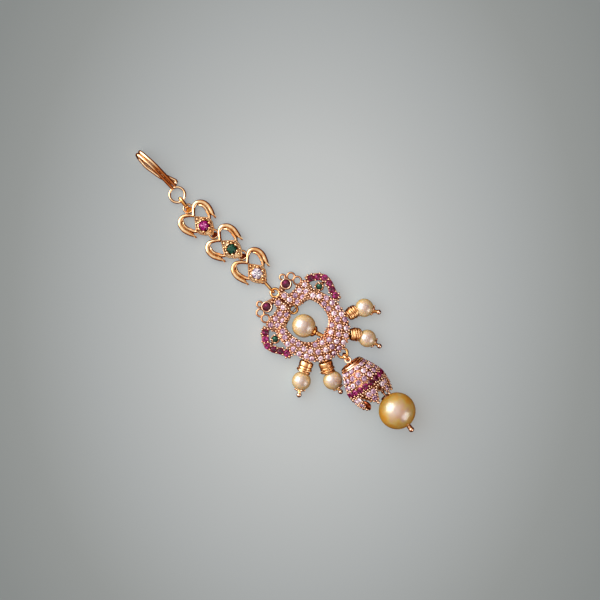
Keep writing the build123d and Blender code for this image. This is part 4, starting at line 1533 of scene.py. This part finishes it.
@dataclass
class Studio:
    """A pale floor, soft light and the camera straight above."""

    look_at: tuple[float, float] = (3.93, -6.19)
    camera_turn: float = -50.0
    camera_height: float = 453.0
    lens: float = 108.0
    # in metres: half the floor's side, so wide that low views don't look past it, and the lamps' distance
    floor_reach: float = 9.0
    lamp_far: float = 0.5
    # the lamps: direction from the jewel, side in metres, power in watts
    key: Point = (-0.26, 0.96, 0.70)
    key_size: float = 0.54
    key_power: float = 3.5
    fill: Point = (0.16, -0.99, 0.50)
    fill_size: float = 0.34
    fill_power: float = 0.8
    pearl_key_size: float = 0.5
    pearl_key_power: float = 2.8
    # pieces that would shade the big pearl
    passed: tuple[str, ...] = ("bell_body", "bell_grains", "bell_white_paving", "bell_ruby_paving",
                               "big_pearl_cap")
    bright_side: Point = (-0.16, 0.55, 0.82)
    room_light: float = 1.2
    # the room's tones, from straight away from its bright side to straight towards it
    room_tones: Tones = (
        (0.0, "#34160A"), (0.5, "#4A200C"), (0.66, "#884620"), (0.76, "#B4845A"), (0.86, "#CEC0AE"),
        (0.93, "#ECECEA"), (1.0, "#FFFFFF"))

    def build(self) -> None:
        """Make the camera, the floor and the lights."""
        scene = bpy.context.scene
        camera = bpy.data.cameras.new("camera")
        camera.lens, camera.sensor_width = self.lens, 36.0
        camera.clip_start, camera.clip_end = 0.01, 10.0
        holder = set_down("camera", camera)
        holder.location = Vector((*self.look_at, self.camera_height)) * MM
        holder.rotation_euler = (0.0, 0.0, radians(self.camera_turn))
        scene.camera = holder
        scene.view_settings.view_transform = "Standard"
        floor = bmesh.new()
        bmesh.ops.create_grid(floor, x_segments=8, y_segments=8, size=self.floor_reach)
        data = mesh_of(floor, "floor")
        data.materials.append(PaperFinish(self.look_at, self.camera_turn).make())
        paper = set_down("floor", data)
        # polished undersides would mirror the lit paper, so it is kept out of reflections
        paper.visible_glossy = False
        # a large lamp on the hook's side, and a weak low one opposite; both are kept off the paper, which the
        # room and its own painted glow light, so no hard shadow falls on it
        pearl = frame["nodes"]["big_pearl"]
        self._softbox("key", self.key, self.key_size, self.key_power, Lit.OTHERS, paper, pearl)
        self._softbox("fill", self.fill, self.fill_size, self.fill_power, Lit.OTHERS, paper)
        # the big pearl has a like key light to itself, which the bell doesn't shade
        own = self._softbox(
            "pearl_key", self.key, self.pearl_key_size, self.pearl_key_power, Lit.LISTED, pearl)
        own.light_linking.blocker_collection = self._listed(
            "pearl_key_passes", Lit.OTHERS, *(bpy.data.objects[name] for name in self.passed))
        self._room()

    def _softbox(self, name: str, way: Point, size: float, power: float, lit: Lit,
                 *pieces: Object) -> Object:
        """Hang one square soft light that faces the jewel.

        Args:
            name: The light's name.
            way: Direction from the jewel.
            size: Side in metres.
            power: Strength in watts.
            lit: Whether it lights the pieces, or all others.
            pieces: The pieces.

        Returns:
            The light.
        """
        light = bpy.data.lights.new(name, "AREA")
        light.size, light.energy = size, power
        holder = set_down(name, light)
        direction = Vector(way).normalized()
        holder.location = direction * self.lamp_far
        holder.rotation_euler = direction.to_track_quat("Z", "Y").to_euler()
        holder.visible_camera = False
        holder.light_linking.receiver_collection = self._listed(f"{name}_list", lit, *pieces)
        return holder

    def _listed(self, name: str, lit: Lit, *pieces: Object) -> bpy.types.Collection:
        """A list of pieces that a lamp treats alike.

        Args:
            name: The list's name.
            lit: Whether the lamp is for them only or for all others.
            pieces: The pieces.

        Returns:
            The list.
        """
        group = bpy.data.collections.new(name)
        for piece in pieces:
            group.objects.link(piece)
        for entry in group.collection_objects:
            entry.light_linking.link_state = lit.value
        return group

    def _room(self) -> None:
        """A room with a bright ceiling towards the lamp and dark brown walls, which gold mirrors."""
        world = bpy.data.worlds.new("room")
        tree = empty_tree(world)
        way = add_node(tree, "TexCoord").outputs["Generated"]
        towards = add_node(tree, "VectorMath",
                           {"operation": "DOT_PRODUCT", 1: Vector(self.bright_side).normalized()}, {0: way})
        share = add_node(tree, "MapRange", {"From Min": -1.0, "From Max": 1.0},
                         {"Value": towards.outputs["Value"]})
        colour = add_node(tree, "ValToRGB", links={"Fac": share}, stops=self.room_tones)
        back = add_node(tree, "Background", {"Strength": self.room_light}, {"Color": colour})
        add_node(tree, "OutputWorld", links={"Surface": back})
        bpy.context.scene.world = world


@dataclass
class Jewel:
    """The whole maang tikka."""

    hearts: tuple[HeartLink, ...] = (
        HeartLink(1, (1.70, 35.15), -4.0, 1.25, HEART_RUBY, (0.2, 0.85, 0.5, 0.25, 0.95, 0.4, 0.6),
                  (0.35, 0.7, 0.2), HONEY_GOLD),
        HeartLink(2, (1.70, 26.10), 3.0, 1.20, EMERALD_STONE, (0.3, 0.65, 0.15, 0.6), (0.3, 0.6, 0.2)),
        HeartLink(3, (1.06, 17.30), -8.3, 1.35, CLEAR_STONE, (0.0, 0.85, 0.15, 1.0, 0.05, 0.8),
                  (0.3, 0.9, 0.6)))
    links: tuple[JumpRing, ...] = (
        JumpRing("top_link", (3.82, 31.84, 1.27), (0.2075, 0.978), 3.25, 1.85, 0.96),
        JumpRing("medallion_link", (1.47, 2.08, 1.06), (0.146, 0.989), 4.25, 1.5))
    # how much thicker than in CAD the bell's ring is, from its wire's middle
    bell_link_more: float = 0.2
    # from the hook's left round to its right
    drops: tuple[SideDrop, ...] = (
        SideDrop(1, (-7.45, -6.5), (-10.15, -7.35), (-12.4, -8.5), 2.35, (-15.6, -10.4), BANDED, BANDED_ENDS),
        SideDrop(2, (-4.75, -9.85), (-6.3, -12.05), (-7.2, -14.4), 2.40, (-8.2, -17.9), BANDED, BANDED_ENDS),
        SideDrop(3, (4.2, -10.25), (5.8, -12.05), (6.35, -14.3), 2.20, (6.85, -18.0), WOUND, WOUND_ENDS),
        SideDrop(4, (7.35, -6.9), (9.45, -7.45), (11.75, -8.8), 2.30, (13.3, -12.4), WOUND, WOUND_ENDS))
    metal: tuple[tuple[GoldFinish, tuple[str, ...]], ...] = (
        (HOOK_GOLD, ("hair_hook",)), (WIRE_GOLD, ("drop_pin_1", "drop_pin_2", "drop_pin_3", "drop_pin_4")),
        (CAST_GOLD, ("medallion", "big_pearl_cap")), (GRAIN_GOLD, ("bell_pin", "pearl_pin")))
    pearls: tuple[tuple[PearlFinish, tuple[str, ...]], ...] = (
        (CREAM_NACRE, ("centre_pearl", "drop_pearl_1", "drop_pearl_2", "drop_pearl_3", "drop_pearl_4")),
        (GOLDEN_NACRE, ("big_pearl",)))

    def build(self) -> None:
        """Make and dress every piece."""
        for finish, nodes in self.metal:
            for node in nodes:
                dress_node(node, finish.make())
        for finish, nodes in self.pearls:
            for node in nodes:
                dress_node(node, finish.make(node))
        for heart, below in zip(self.hearts, [*self.hearts[1:], None]):
            heart.build(below)
        for link in self.links:
            link.build()
        thick = Workpiece("bell_link_wire", "bell_link")
        for vert in thick.mesh.verts:
            vert.co += vert.normal * self.bell_link_more
        thick.finish(HEART_GOLD, "bell_link")
        medallion = Medallion()
        medallion.build()
        for drop in self.drops:
            drop.build(medallion)
        Bell().build()


def main() -> None:
    """Build the jewel and the studio."""
    logging.basicConfig(level=logging.INFO, format="%(message)s")
    Jewel().build()
    Studio().build()
    bpy.context.view_layer.update()


if __name__ == "__main__":
    main()
